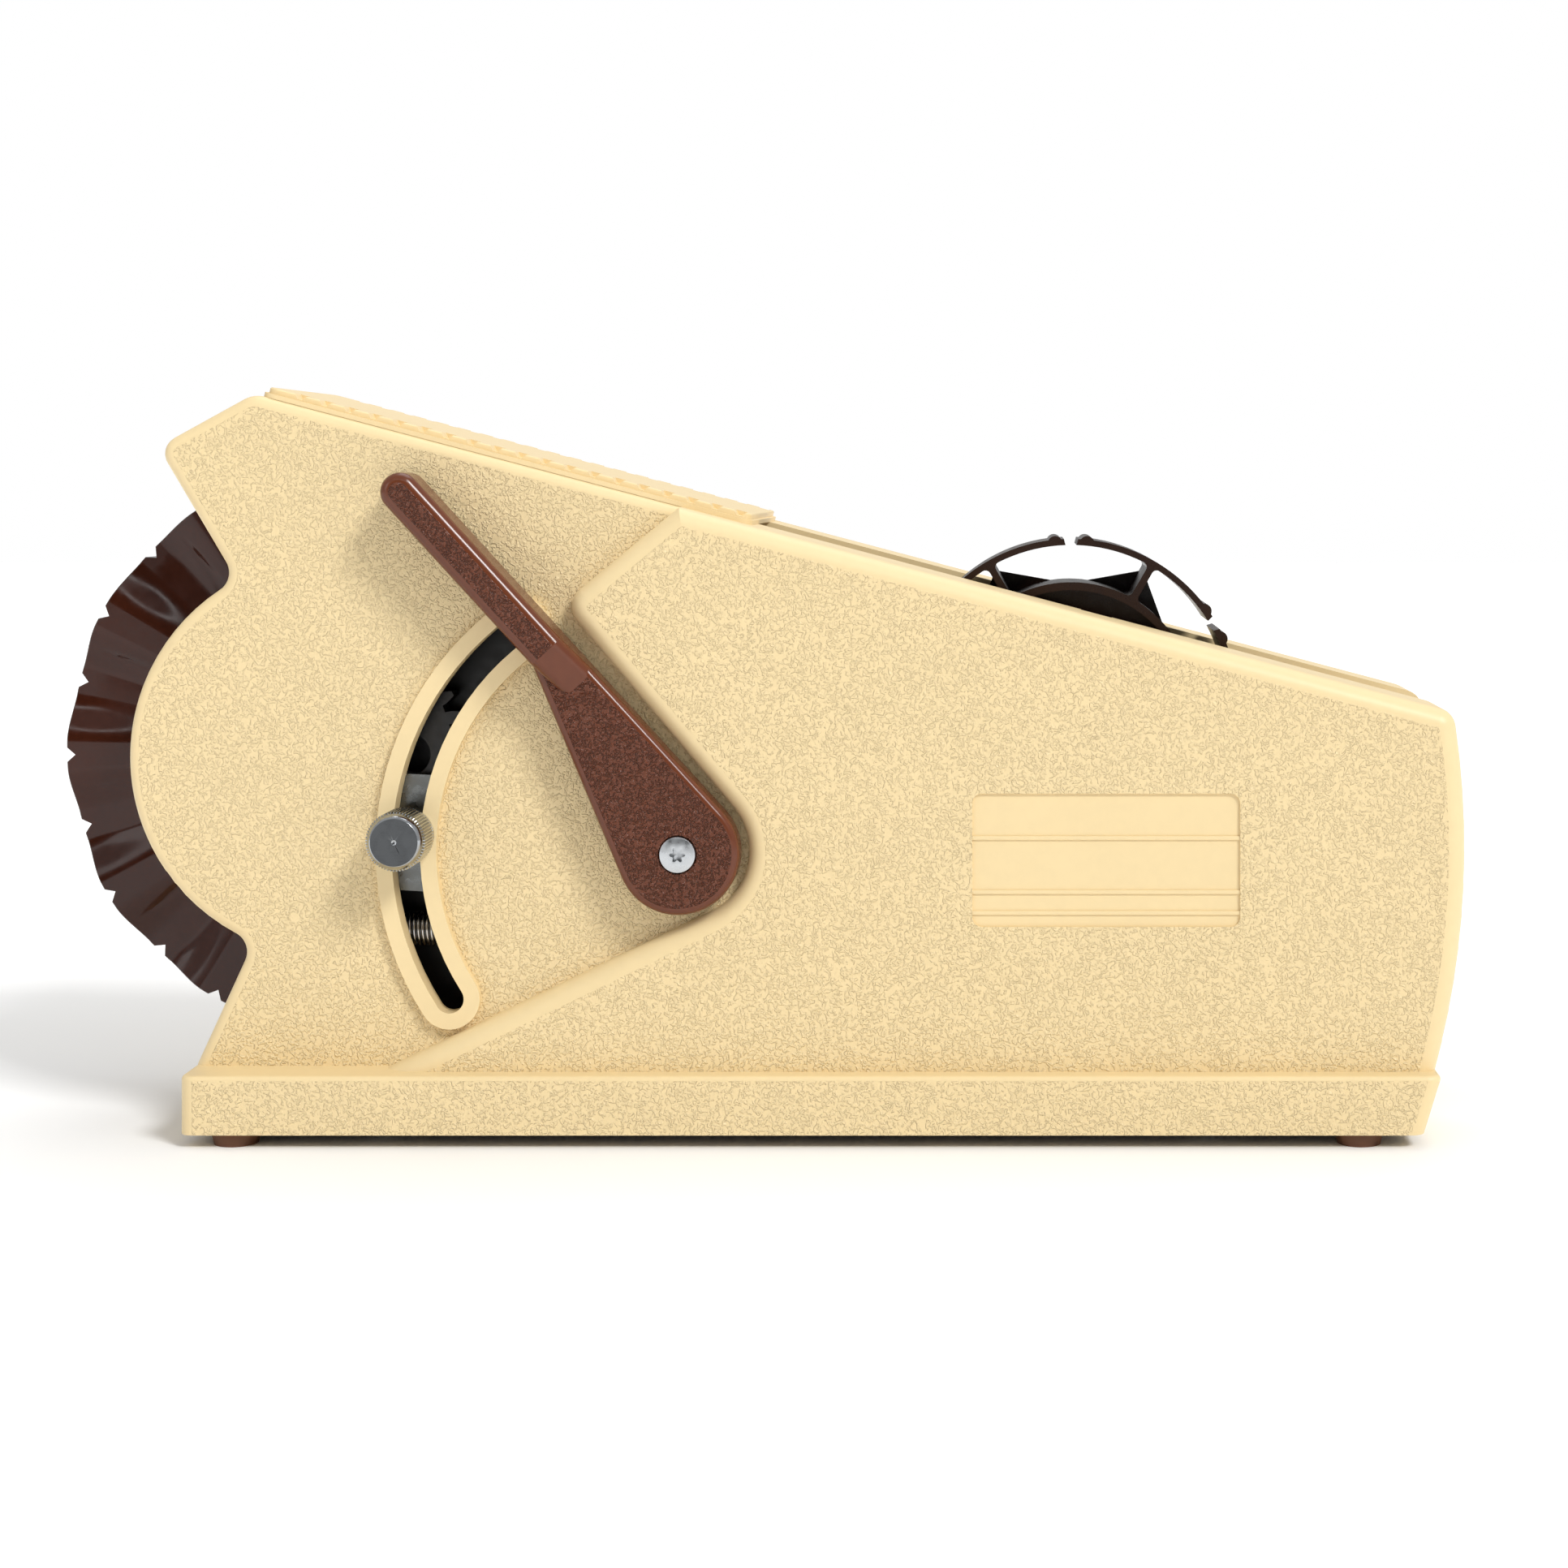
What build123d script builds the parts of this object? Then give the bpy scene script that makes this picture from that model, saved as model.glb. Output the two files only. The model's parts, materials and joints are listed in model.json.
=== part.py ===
from build123d import *
from math import acos, asin, atan2, cos, degrees, hypot, pi, radians, sin, sqrt, tan
import os

# Lever-operated tape dispenser, in millimetres. +X points to the rear (the tape roll), -X to the feed
# wheel, -Y to the side with the lever, +Z up. Z is 0 under the feet and Y is 0 in the tape's mid plane.

# ---------------------------------------------------------------- driving dimensions
# base tray and feet
foot_height = 3.0
foot_top_r, foot_bottom_r, foot_stem_r = 5.4, 4.7, 2.5
base_front_x, base_rear_x = -121.2, 150.2
base_rear_slant = 3.9
base_width = 88.0
base_height = 12.6
base_wall = 3.0
bottom_plate_t = 2.0
foot_inset_front, foot_inset_rear, foot_inset_side = 10.7, 17.5, 6.5

# housing, seen from the side
lobe_r = 43.9                      # round lobe around the wheel's axle
nose_tip = (-129.6, 150.8)
nose_top = (-108.6, 162.4)
nose_front_slope = 0.591           # how far the nose's front edge leans, X per Z
top_slope = 14.8                   # degrees that the top falls to the rear
rear_top_x = 153.6
rear_bulge = (156.0, 62.0)
shell_rear_foot_x = 149.6
shell_front_foot_inset = 0.3
front_leg_direction = (12.3, 26.9)   # the front edge from the base up to the lobe
lobe_corner_r, nose_tip_r, nose_top_r, rear_corner_r = 4.5, 4.0, 6.0, 4.5

# layers across the width, each measured from the tape's mid plane
tape_gap = 28.0                    # open space between the two inner panels
panel_t = 2.5
shell_depth = 16.5                 # inner panel to the recessed outer face
raised_step = 6.0                  # recessed face to the raised rear panel
shell_wall = 3.0
recess_edge_r, raised_edge_r = 2.5, 4.0
raised_top_x = -14.8               # where the raised panel's edge meets the top
raised_corner = (-40.3, 116.7)
raised_foot_x = -78.3
raised_corner_r = 5.0
pivot_scallop_r = 14.8

# feed wheel
wheel_x, wheel_z = -91.8, 82.9
wheel_r, wheel_width = 64.1, 26.0
wheel_core_r = 36.0
notch_count, notch_depth, notch_width = 24, 1.9, 3.2
notch_phase = 1.3                  # degrees from +X to the first notch
axle_r = 4.0
running_gap = 0.05

# lever, its shaft and the gear train
pivot_x, pivot_z = -14.4, 62.9
lever_tip_reach, lever_tip_angle = 98.0, 127.2
lever_tip_r, lever_boss_r = 4.2, 13.2
lever_gap, lever_plate_t, lever_arm_t = 0.8, 6.3, 10.3
lever_flare_at = 45.0              # along the arm from its tip to the plate
lever_edge_r, lever_arm_edge_r = 1.6, 2.2
lever_ramp_start, lever_ramp_end = 46.6, 56.3   # from the tip, where the arm slopes down to the plate
shaft_r, shaft_end_r = 5.0, 4.0
bush_wall = 2.0
gear_module, gear_teeth, idler_teeth = 1.5, 37, 17
gear_backlash = 0.3
gear_width = 6.0
gear_from_panel = 4.0
sector_first, sector_last = 92.0, 182.0
spring_arm = 18.9

# length stop
slot_r, slot_half_width, lip_half_width, lip_height = 60.0, 3.1, 6.6, 2.0
slot_start, slot_end = 126.2, 212.7
stop_angle = 176.9
stop_plate_t, stop_plate_half = 1.6, 12.8
stop_plate_reach = 5.0             # beyond the slot's centre line
stud_r = 2.5
nut_r, nut_length, nut_knurls = 6.4, 11.0, 48
nut_washer_t = 0.8

# return spring
spring_x, spring_r, spring_wire_r = -86.0, 4.0, 0.45

# tape hub and its axle
hub_x, hub_z = 70.9, 92.3
hub_width = 24.0
hub_ring_r, hub_ring_t = 28.1, 1.8
hub_arc_r, hub_arc_t = 37.9, 1.4
hub_bump_r, hub_bump_angle = 1.7, 5.6
hub_spoke_t, hub_gusset_r = 1.6, 1.2
hub_gap, hub_tip_taper = 1.5, 1.0   # degrees either side of a break in the arcs, and its taper
star_tip_r, star_valley_r = 34.7, 27.0
hub_axle_r, hub_slot_gap = 3.5, 0.1

# press roller, guide, cutter, spacers
roller_r, roller_angle, tape_room = 5.0, 45.0, 0.6
arm_pin_x, arm_pin_z, arm_pin_r = -21.0, 124.5, 2.0
arm_t, arm_inset = 1.5, 0.9
guide_x, guide_z, guide_r = -5.0, 125.5, 3.0
blade_edge = (-122.4, 143.8)
blade_reach, blade_angle, blade_t, blade_teeth = 15.5, 56.0, 0.8, 13
holder_t = 6.0
spacer_places = [(14.0, 34.0), (-8.0, 108.0), (136.0, 30.0)]
spacer_r, tie_r = 4.0, 2.0
boss_r = 4.6

# top cover
cover_front_x, cover_rear_x = -107.0, 0.4
cover_half, cover_lip_half = 29.8, 31.2
cover_lip_t, cover_t = 1.0, 1.3
groove_count, groove_pitch, groove_first_x = 19, 5.36, -99.2
groove_width, groove_floor, groove_depth, groove_length = 2.7, 1.0, 1.0, 5.0

# label panel
label_x, label_z, label_width, label_height = 77.95, 61.3, 57.9, 28.8
label_corner_r, label_depth, label_rib = 2.1, 0.6, 0.8
label_rib_heights = (66.1, 54.4, 49.9)

# ---------------------------------------------------------------- worked-out sizes
base_bottom = foot_height
base_top = foot_height + base_height
tray_ceiling = base_top - base_wall
gap_half = tape_gap / 2
panel_out = gap_half + panel_t
recess_y = panel_out + shell_depth
raised_y = recess_y + raised_step
front_foot_x = base_front_x + shell_front_foot_inset
wheel_half = wheel_width / 2
top_rise = tan(radians(top_slope))
tip_x = pivot_x + lever_tip_reach * cos(radians(lever_tip_angle))
tip_z = pivot_z + lever_tip_reach * sin(radians(lever_tip_angle))
hub_half = hub_width / 2


def top_z(x):
    """Height of the housing's sloping top above the base plane at x."""
    return nose_top[1] - top_rise * (x - nose_top[0])


def side(y):
    """Sketch plane at depth y: its x is the object's X, its y is Z, and extruding goes towards -Y."""
    return Plane(origin=(0, y, 0), x_dir=(1, 0, 0), z_dir=(0, -1, 0))


def top_plane(x, lift=0.0):
    """Sketch plane on the sloping top at x, raised by lift along the top's normal."""
    slope = radians(top_slope)
    normal = Vector(sin(slope), 0, cos(slope))
    return Plane(origin=Vector(x, 0, top_z(x)) + normal * lift, x_dir=(cos(slope), 0, -sin(slope)), z_dir=normal)


def polar(centre, radius, angle):
    """Point at radius and angle in degrees around centre."""
    return (centre[0] + radius * cos(radians(angle)), centre[1] + radius * sin(radians(angle)))


def line_meets_circle(start, direction, centre, radius):
    """First point where a line from start meets a circle."""
    dx, dz = start[0] - centre[0], start[1] - centre[1]
    length = hypot(*direction)
    ux, uz = direction[0] / length, direction[1] / length
    b = dx * ux + dz * uz
    root = sqrt(b * b - (dx * dx + dz * dz - radius * radius))
    t = -b - root
    return (start[0] + t * ux, start[1] + t * uz)


wheel_centre = (wheel_x, wheel_z)
pivot = (pivot_x, pivot_z)
tip = (tip_x, tip_z)

# ---------------------------------------------------------------- outlines
front_foot = (front_foot_x, base_top)
lobe_low = line_meets_circle(front_foot, front_leg_direction, wheel_centre, lobe_r)
lobe_high = line_meets_circle(nose_tip, (nose_front_slope, -1), wheel_centre, lobe_r)
rear_top = (rear_top_x, top_z(rear_top_x))
rear_foot = (shell_rear_foot_x, base_top)


def housing_outline(inset=0.0):
    """Side outline of the housing, shrunk by inset."""
    with BuildSketch() as outline:
        with BuildLine():
            Line(front_foot, lobe_low)
            ThreePointArc(lobe_low, polar(wheel_centre, lobe_r, 180), lobe_high)
            Line(lobe_high, nose_tip)
            Line(nose_tip, nose_top)
            Line(nose_top, rear_top)
            ThreePointArc(rear_top, rear_bulge, rear_foot)
            Line(rear_foot, front_foot)
        make_face()
        corners = [
            (lobe_low, lobe_corner_r), (lobe_high, lobe_corner_r), (nose_tip, nose_tip_r),
            (nose_top, nose_top_r), (rear_top, rear_corner_r),
        ]
        for place, radius in corners:
            target = Vector(place[0], place[1], 0)
            fillet(outline.vertices().sort_by_distance(target)[0], radius=radius)
        if inset:
            offset(amount=-inset, mode=Mode.REPLACE)
    return outline.sketch


def raised_outline(inset=0.0):
    """Side outline of the raised rear panel, shrunk by inset."""
    with BuildSketch() as outline:
        with BuildLine():
            start = (raised_top_x, top_z(raised_top_x))
            scallop_top = polar(pivot, pivot_scallop_r, 39.6)
            scallop_foot = polar(pivot, pivot_scallop_r, -65.0)
            Polyline(start, raised_corner, scallop_top)
            ThreePointArc(scallop_top, polar(pivot, pivot_scallop_r, -12.7), scallop_foot)
            Polyline(scallop_foot, (raised_foot_x, base_top), rear_foot)
            ThreePointArc(rear_foot, rear_bulge, rear_top)
            Line(rear_top, start)
        make_face()
        for place, radius in [(raised_corner, raised_corner_r), (rear_top, rear_corner_r)]:
            target = Vector(place[0], place[1], 0)
            fillet(outline.vertices().sort_by_distance(target)[0], radius=radius)
        if inset:
            offset(amount=-inset, mode=Mode.REPLACE)
    return outline.sketch


def lever_points():
    """Tangent points and normals of the lever's outline."""
    to_pivot = degrees(atan2(pivot_z - tip_z, pivot_x - tip_x))
    right_angle = to_pivot + degrees(asin((lever_boss_r - lever_tip_r) / lever_tip_reach))
    arm = (cos(radians(right_angle)), sin(radians(right_angle)))
    left_start = polar(tip, lever_tip_r, right_angle - 90)
    flare = (left_start[0] + arm[0] * lever_flare_at, left_start[1] + arm[1] * lever_flare_at)
    to_boss = degrees(atan2(pivot_z - flare[1], pivot_x - flare[0]))
    reach = hypot(pivot_z - flare[1], pivot_x - flare[0])
    left_angle = to_boss - degrees(asin(lever_boss_r / reach))
    return right_angle, left_start, flare, left_angle


def lever_outline():
    """The lever's whole side outline: a slim arm that widens into a teardrop plate."""
    right_angle, left_start, flare, left_angle = lever_points()
    boss_left = polar(pivot, lever_boss_r, left_angle - 90)
    boss_right = polar(pivot, lever_boss_r, right_angle + 90)
    tip_right = polar(tip, lever_tip_r, right_angle + 90)
    with BuildSketch() as outline:
        with BuildLine():
            Line(tip_right, boss_right)
            ThreePointArc(boss_right, polar(pivot, lever_boss_r, right_angle), boss_left)
            Line(boss_left, flare)
            Line(flare, left_start)
            ThreePointArc(left_start, polar(tip, lever_tip_r, right_angle + 180), tip_right)
        make_face()
    return outline.sketch


def arc_band(centre, radius, half_width, first, last):
    """A slot-shaped band bent around centre, with round ends."""
    middle = (first + last) / 2
    with BuildSketch() as band:
        with BuildLine():
            outer = [polar(centre, radius + half_width, a) for a in (first, middle, last)]
            inner = [polar(centre, radius - half_width, a) for a in (first, middle, last)]
            ThreePointArc(*outer)
            ThreePointArc(*inner)
            step = degrees(half_width / radius)
            ThreePointArc(outer[0], polar(centre, radius, first - step), inner[0])
            ThreePointArc(outer[2], polar(centre, radius, last + step), inner[2])
        make_face()
    return band.sketch


def involute(angle):
    """Involute function of a pressure angle in radians."""
    return tan(angle) - angle


def gear_outline(teeth, first_tooth, module=gear_module):
    """Spur gear outline with one tooth centred on first_tooth, in degrees, around the origin."""
    pitch_r = module * teeth / 2
    base_r = pitch_r * cos(radians(20))
    root_r, outer_r = pitch_r - 1.2 * module, pitch_r + 0.95 * module
    half_pitch = pi / (2 * teeth) - gear_backlash / (4 * pitch_r)
    low_r = max(base_r, root_r) + 0.02
    radii = [low_r, (low_r + pitch_r) / 2, pitch_r, (pitch_r + outer_r) / 2, outer_r]

    def half_angle(radius):
        return half_pitch + involute(radians(20)) - involute(acos(base_r / radius))

    points = []
    for tooth in range(teeth):
        centre = radians(first_tooth) + tooth * 2 * pi / teeth
        rising = [(root_r, centre - half_angle(low_r))] + [(r, centre - half_angle(r)) for r in radii]
        falling = [(r, 2 * centre - a) for r, a in reversed(rising)]
        points += [(r * cos(a), r * sin(a)) for r, a in rising + falling]
    with BuildSketch() as outline:
        with BuildLine():
            Polyline(*points, close=True)
        make_face()
    return outline.sketch


def save(builder, name):
    """Label a finished piece and write it."""
    builder.part.label = name
    export_step(builder.part, f"parts/{name}.step")


os.makedirs("parts", exist_ok=True)

# ---------------------------------------------------------------- gear train places
gear_pitch_r = gear_module * gear_teeth / 2
idler_pitch_r = gear_module * idler_teeth / 2
centre_distance = gear_pitch_r + idler_pitch_r
axle_distance = hypot(wheel_x - pivot_x, wheel_z - pivot_z)
idler_offset = sqrt(centre_distance**2 - (axle_distance / 2) ** 2)
line_angle = degrees(atan2(wheel_z - pivot_z, wheel_x - pivot_x))
idler = polar(polar(pivot, axle_distance / 2, line_angle), idler_offset, line_angle - 90)
pivot_to_idler = degrees(atan2(idler[1] - pivot_z, idler[0] - pivot_x))
idler_to_wheel = degrees(atan2(wheel_z - idler[1], wheel_x - idler[0]))
idler_tooth = pivot_to_idler + 180 + 180 / idler_teeth
idler_step = 360 / idler_teeth
tooth_past_line = (idler_tooth - idler_to_wheel) % idler_step
clutch_tooth = idler_to_wheel + 180 - tooth_past_line * idler_teeth / gear_teeth + 180 / gear_teeth
gear_far_y = -(panel_out + gear_from_panel)
gear_near_y = gear_far_y - gear_width
bush_r = shaft_r + running_gap + bush_wall
bush_boss_r = bush_r + 3.0
axle_bush_r = axle_r + running_gap + bush_wall
stop_far_y = -(recess_y - shell_wall) + 0.3 + stop_plate_t
lever_back_y = -(recess_y + lip_height + lever_gap)

# ---------------------------------------------------------------- housing shells
base_block_places = [(-98.0, 12.0), (112.0, 12.0)]
base_block = 12.0
base_screw_r = 2.0
base_screw_y = panel_out + 8.0


def shell_blank():
    """One half of the housing on the lever side: a hollow cup whose open side faces the inner panel."""
    with BuildPart() as shell:
        with BuildSketch(side(-panel_out)):
            add(housing_outline())
        extrude(amount=shell_depth)
        outer = shell.faces().sort_by(Axis.Y)[0]
        fillet(outer.edges().filter_by_position(Axis.Z, base_top + 0.1, 400), radius=recess_edge_r)
        with BuildPart(mode=Mode.PRIVATE) as raised:
            with BuildSketch(side(-panel_out)):
                add(raised_outline())
            extrude(amount=shell_depth + raised_step)
            face = raised.faces().sort_by(Axis.Y)[0]
            fillet(face.edges().filter_by_position(Axis.Z, base_top + 0.1, 400), radius=raised_edge_r)
        add(raised.part)
        with BuildSketch(side(-panel_out)):
            add(housing_outline(shell_wall))
        extrude(amount=shell_depth - shell_wall, mode=Mode.SUBTRACT)
        with BuildSketch(side(-panel_out)):
            add(raised_outline(shell_wall + 1.0))
        extrude(amount=shell_depth + raised_step - shell_wall, mode=Mode.SUBTRACT)
        for x, z in spacer_places:
            with BuildSketch(side(-panel_out)):
                with Locations((x, z)):
                    Circle(boss_r)
            extrude(amount=shell_depth + raised_step - shell_wall / 2)
        for x, height in base_block_places:
            with BuildSketch(Plane.XY.offset(base_top)):
                with Locations((x, -base_screw_y)):
                    Rectangle(base_block, base_block)
            extrude(amount=height)
            with BuildSketch(Plane.XY.offset(base_top)):
                with Locations((x, -base_screw_y)):
                    Circle(base_screw_r)
            extrude(amount=height - 2, mode=Mode.SUBTRACT)
    return shell.part


with BuildPart() as near_shell:
    add(shell_blank())
    # raised lip around the arc slot, the slot itself and the pivot boss
    with BuildSketch(side(-recess_y + shell_wall / 2)):
        add(arc_band(pivot, slot_r, lip_half_width, slot_start, slot_end))
    extrude(amount=lip_height + shell_wall / 2)
    with BuildSketch(side(-recess_y + shell_wall / 2)):
        with Locations(pivot):
            Circle(bush_boss_r)
    extrude(amount=lip_height + shell_wall / 2)
    with BuildSketch(side(-panel_out)):
        add(arc_band(pivot, slot_r, slot_half_width, slot_start, slot_end))
        with Locations(pivot):
            Circle(bush_r)
    extrude(amount=shell_depth + lip_height, mode=Mode.SUBTRACT)
    # blind screw holes in the bosses
    for x, z in spacer_places:
        with BuildSketch(side(-panel_out)):
            with Locations((x, z)):
                Circle(tie_r)
        extrude(amount=shell_depth, mode=Mode.SUBTRACT)
    # plain label panel with divider ribs
    with BuildSketch(side(-raised_y + label_depth)):
        with Locations((label_x, label_z)):
            RectangleRounded(label_width, label_height, label_corner_r)
    extrude(amount=label_depth, mode=Mode.SUBTRACT)
    for z in label_rib_heights:
        with BuildSketch(side(-raised_y + label_depth)):
            with Locations((label_x, z)):
                Rectangle(label_width, label_rib)
        extrude(amount=label_depth * 0.6)
save(near_shell, "near_shell")

with BuildPart() as far_shell:
    add(shell_blank())
    for x, z in spacer_places:
        with BuildSketch(side(-panel_out)):
            with Locations((x, z)):
                Circle(tie_r + 0.2)
        extrude(amount=shell_depth + raised_step, mode=Mode.SUBTRACT)
        with BuildSketch(side(-raised_y + 4.0)):
            with Locations((x, z)):
                Circle(tie_r * 2 + 0.3)
        extrude(amount=4.0, mode=Mode.SUBTRACT)
    mirror(about=Plane.XZ, mode=Mode.REPLACE)
save(far_shell, "far_shell")

# ---------------------------------------------------------------- inner panels
slot_w = 2 * (hub_axle_r + hub_slot_gap)
top_normal = (sin(radians(top_slope)), cos(radians(top_slope)))
slot_length = 60.0
roller_centre = polar(wheel_centre, wheel_r + tape_room + roller_r, roller_angle)
blade_up = (cos(radians(blade_angle)), sin(radians(blade_angle)))
blade_back = (sin(radians(blade_angle)), -cos(radians(blade_angle)))


def blade_point(along, back):
    """Side-view point measured along the blade from its edge and back behind its front face."""
    x = blade_edge[0] + blade_up[0] * along + blade_back[0] * back
    z = blade_edge[1] + blade_up[1] * along + blade_back[1] * back
    return (x, z)


holder_screw_r = 1.5
holder_screw_place = blade_point(blade_reach - 4.5, blade_t + holder_t / 2)
guide_pin_r = 1.5
idler_pin_r, post_r, peg_r = 3.0, 2.0, 1.6
idler_collar_r = idler_pin_r + 2.5
spring_z = pivot_z - spring_arm
bumper_r, bumper_pin_r, bumper_gap = 3.0, 1.5, 0.3
bumper_reach = 22.0
bumper_side = bumper_r + bumper_gap
bumper_centre = (
    polar(pivot, bumper_reach, sector_first)[0] + bumper_side * sin(radians(sector_first)),
    polar(pivot, bumper_reach, sector_first)[1] - bumper_side * cos(radians(sector_first)),
)


def panel_blank():
    """Inner panel on the lever side with the holes that both panels share."""
    with BuildPart() as panel:
        with BuildSketch(side(-gap_half)):
            add(housing_outline())
            with Locations((hub_x, hub_z)):
                Circle(slot_w / 2, mode=Mode.SUBTRACT)
            middle = (hub_x + top_normal[0] * slot_length / 2, hub_z + top_normal[1] * slot_length / 2)
            with Locations(middle):
                Rectangle(slot_w, slot_length, rotation=-top_slope, mode=Mode.SUBTRACT)
            with Locations(*spacer_places):
                Circle(tie_r + 0.2, mode=Mode.SUBTRACT)
            with Locations((arm_pin_x, arm_pin_z)):
                Circle(arm_pin_r, mode=Mode.SUBTRACT)
            with Locations((guide_x, guide_z)):
                Circle(guide_pin_r, mode=Mode.SUBTRACT)
            with Locations(holder_screw_place):
                Circle(holder_screw_r, mode=Mode.SUBTRACT)
        extrude(amount=panel_t)
    return panel.part


with BuildPart() as near_panel:
    add(panel_blank())
    with BuildSketch(side(-panel_out)):
        with Locations(pivot):
            Circle(bush_boss_r)
    extrude(amount=gear_from_panel - 1.5)
    with BuildSketch(side(-gap_half)):
        with Locations(pivot):
            Circle(bush_r)
        with Locations(wheel_centre):
            Circle(axle_bush_r)
        with Locations(idler):
            Circle(idler_pin_r)
        with Locations((spring_x, spring_z)):
            Circle(post_r)
        with Locations(bumper_centre):
            Circle(bumper_pin_r)
    extrude(amount=gear_from_panel + panel_t, mode=Mode.SUBTRACT)
save(near_panel, "near_panel")

clutch_case_r = 8.0
with BuildPart() as far_panel:
    add(panel_blank())
    with BuildSketch(side(-gap_half)):
        with Locations(wheel_centre):
            Circle(clutch_case_r)
    extrude(amount=panel_t, mode=Mode.SUBTRACT)
    mirror(about=Plane.XZ, mode=Mode.REPLACE)
save(far_panel, "far_panel")

# ---------------------------------------------------------------- base
base_half = base_width / 2
base_corner_r, base_edge_r = 3.0, 1.0
base_screw_head_r, base_screw_head_t = 3.6, 2.4
plate_screw_r, plate_boss_r = 1.5, 4.0
plate_screw_places = [(x, y) for x in (-80.0, 100.0) for y in (-base_half + 9.0, base_half - 9.0)]
foot_places = {
    f"foot_{end}_{flank}": (x, y)
    for end, x in (("front", base_front_x + foot_inset_front), ("rear", base_rear_x - foot_inset_rear))
    for flank, y in (("near", foot_inset_side - base_half), ("far", base_half - foot_inset_side))
}
base_screw_places = [(x, s * base_screw_y) for x, _ in base_block_places for s in (-1, 1)]


def base_block_part(inset, low, high):
    """Block with the base's slanted rear end, shrunk by inset, between two heights."""
    slant = base_rear_slant / base_height
    with BuildPart() as block:
        with BuildSketch(side(base_half - inset)):
            with BuildLine():
                Polyline(
                    (base_front_x + inset, low), (base_front_x + inset, high),
                    (base_rear_x - inset - slant * (base_top - high), high),
                    (base_rear_x - inset - slant * (base_top - low), low), close=True,
                )
            make_face()
        extrude(amount=base_width - 2 * inset)
    return block.part


with BuildPart() as base:
    add(base_block_part(0, base_bottom, base_top))
    corners = base.edges().filter_by(lambda e: abs(e.tangent_at(0.5).Z) > 0.9)
    fillet(corners, radius=base_corner_r)
    fillet(base.faces().sort_by(Axis.Z)[-1].edges(), radius=base_edge_r)
    add(base_block_part(base_wall, base_bottom - 1, tray_ceiling), mode=Mode.SUBTRACT)
    with BuildSketch(Plane.XY.offset(base_bottom + bottom_plate_t)):
        with Locations(*plate_screw_places):
            Circle(plate_boss_r)
    extrude(amount=tray_ceiling - base_bottom - bottom_plate_t)
    with BuildSketch(Plane.XY.offset(base_bottom + bottom_plate_t)):
        with Locations(*plate_screw_places):
            Circle(plate_screw_r)
    extrude(amount=5.0, mode=Mode.SUBTRACT)
    with BuildSketch(Plane.XY.offset(tray_ceiling)):
        with Locations(*base_screw_places):
            Circle(base_screw_r + 0.2)
    extrude(amount=base_wall, mode=Mode.SUBTRACT)
save(base, "base")

plate_fit = 0.2
plate_front = base_front_x + base_wall + plate_fit
plate_rear = base_rear_x - base_wall - base_rear_slant - plate_fit
with BuildPart() as bottom_plate:
    with BuildSketch(Plane.XY.offset(base_bottom)):
        with Locations(((plate_front + plate_rear) / 2, 0)):
            Rectangle(plate_rear - plate_front, base_width - 2 * (base_wall + plate_fit))
        with Locations(*plate_screw_places):
            Circle(plate_screw_r + 0.1, mode=Mode.SUBTRACT)
        with Locations(*foot_places.values()):
            Circle(foot_stem_r, mode=Mode.SUBTRACT)
    extrude(amount=bottom_plate_t)
save(bottom_plate, "bottom_plate")

ballast_length, ballast_width, ballast_t = 150.0, 70.0, 6.0
with BuildPart() as ballast:
    with BuildSketch(Plane.XY.offset(tray_ceiling - ballast_t)):
        with Locations((12.0, 0)):
            RectangleRounded(ballast_length, ballast_width, 4.0)
    extrude(amount=ballast_t)
save(ballast, "ballast")

for name, spot in foot_places.items():
    with BuildPart() as foot:
        with Locations((spot[0], spot[1], 0)):
            Cone(foot_bottom_r, foot_top_r, foot_height, align=(Align.CENTER, Align.CENTER, Align.MIN))
        with BuildSketch(Plane.XY.offset(foot_height)):
            with Locations(spot):
                Circle(foot_stem_r)
        extrude(amount=bottom_plate_t + 1.0)
    save(foot, name)

with BuildPart() as base_screws:
    with BuildSketch(Plane.XY.offset(tray_ceiling - base_screw_head_t)):
        with Locations(*base_screw_places):
            Circle(base_screw_head_r)
    extrude(amount=base_screw_head_t)
    with BuildSketch(Plane.XY.offset(tray_ceiling)):
        with Locations(*base_screw_places):
            Circle(base_screw_r)
    extrude(amount=base_wall + base_block_places[0][1] - 3.0)
save(base_screws, "base_screws")

with BuildPart() as plate_screws:
    with BuildSketch(Plane.XY.offset(base_bottom - 1.2)):
        with Locations(*plate_screw_places):
            Circle(plate_screw_r * 2)
    extrude(amount=1.2)
    with BuildSketch(Plane.XY.offset(base_bottom)):
        with Locations(*plate_screw_places):
            Circle(plate_screw_r)
    extrude(amount=bottom_plate_t + 4.0)
save(plate_screws, "plate_screws")

# ---------------------------------------------------------------- spacers and tie screws
with BuildPart() as spacers:
    with BuildSketch(side(gap_half)):
        with Locations(*spacer_places):
            Circle(spacer_r)
            Circle(tie_r + 0.2, mode=Mode.SUBTRACT)
    extrude(amount=tape_gap)
save(spacers, "spacers")

tie_head_t, tie_counterbore = 3.0, 4.0
with BuildPart() as tie_screws:
    with BuildSketch(side(raised_y - tie_counterbore + tie_head_t)):
        with Locations(*spacer_places):
            Circle(tie_r * 2)
    extrude(amount=tie_head_t)
    with BuildSketch(side(raised_y - tie_counterbore)):
        with Locations(*spacer_places):
            Circle(tie_r)
    extrude(amount=raised_y - tie_counterbore + recess_y - 2.0)
save(tie_screws, "tie_screws")

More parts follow.
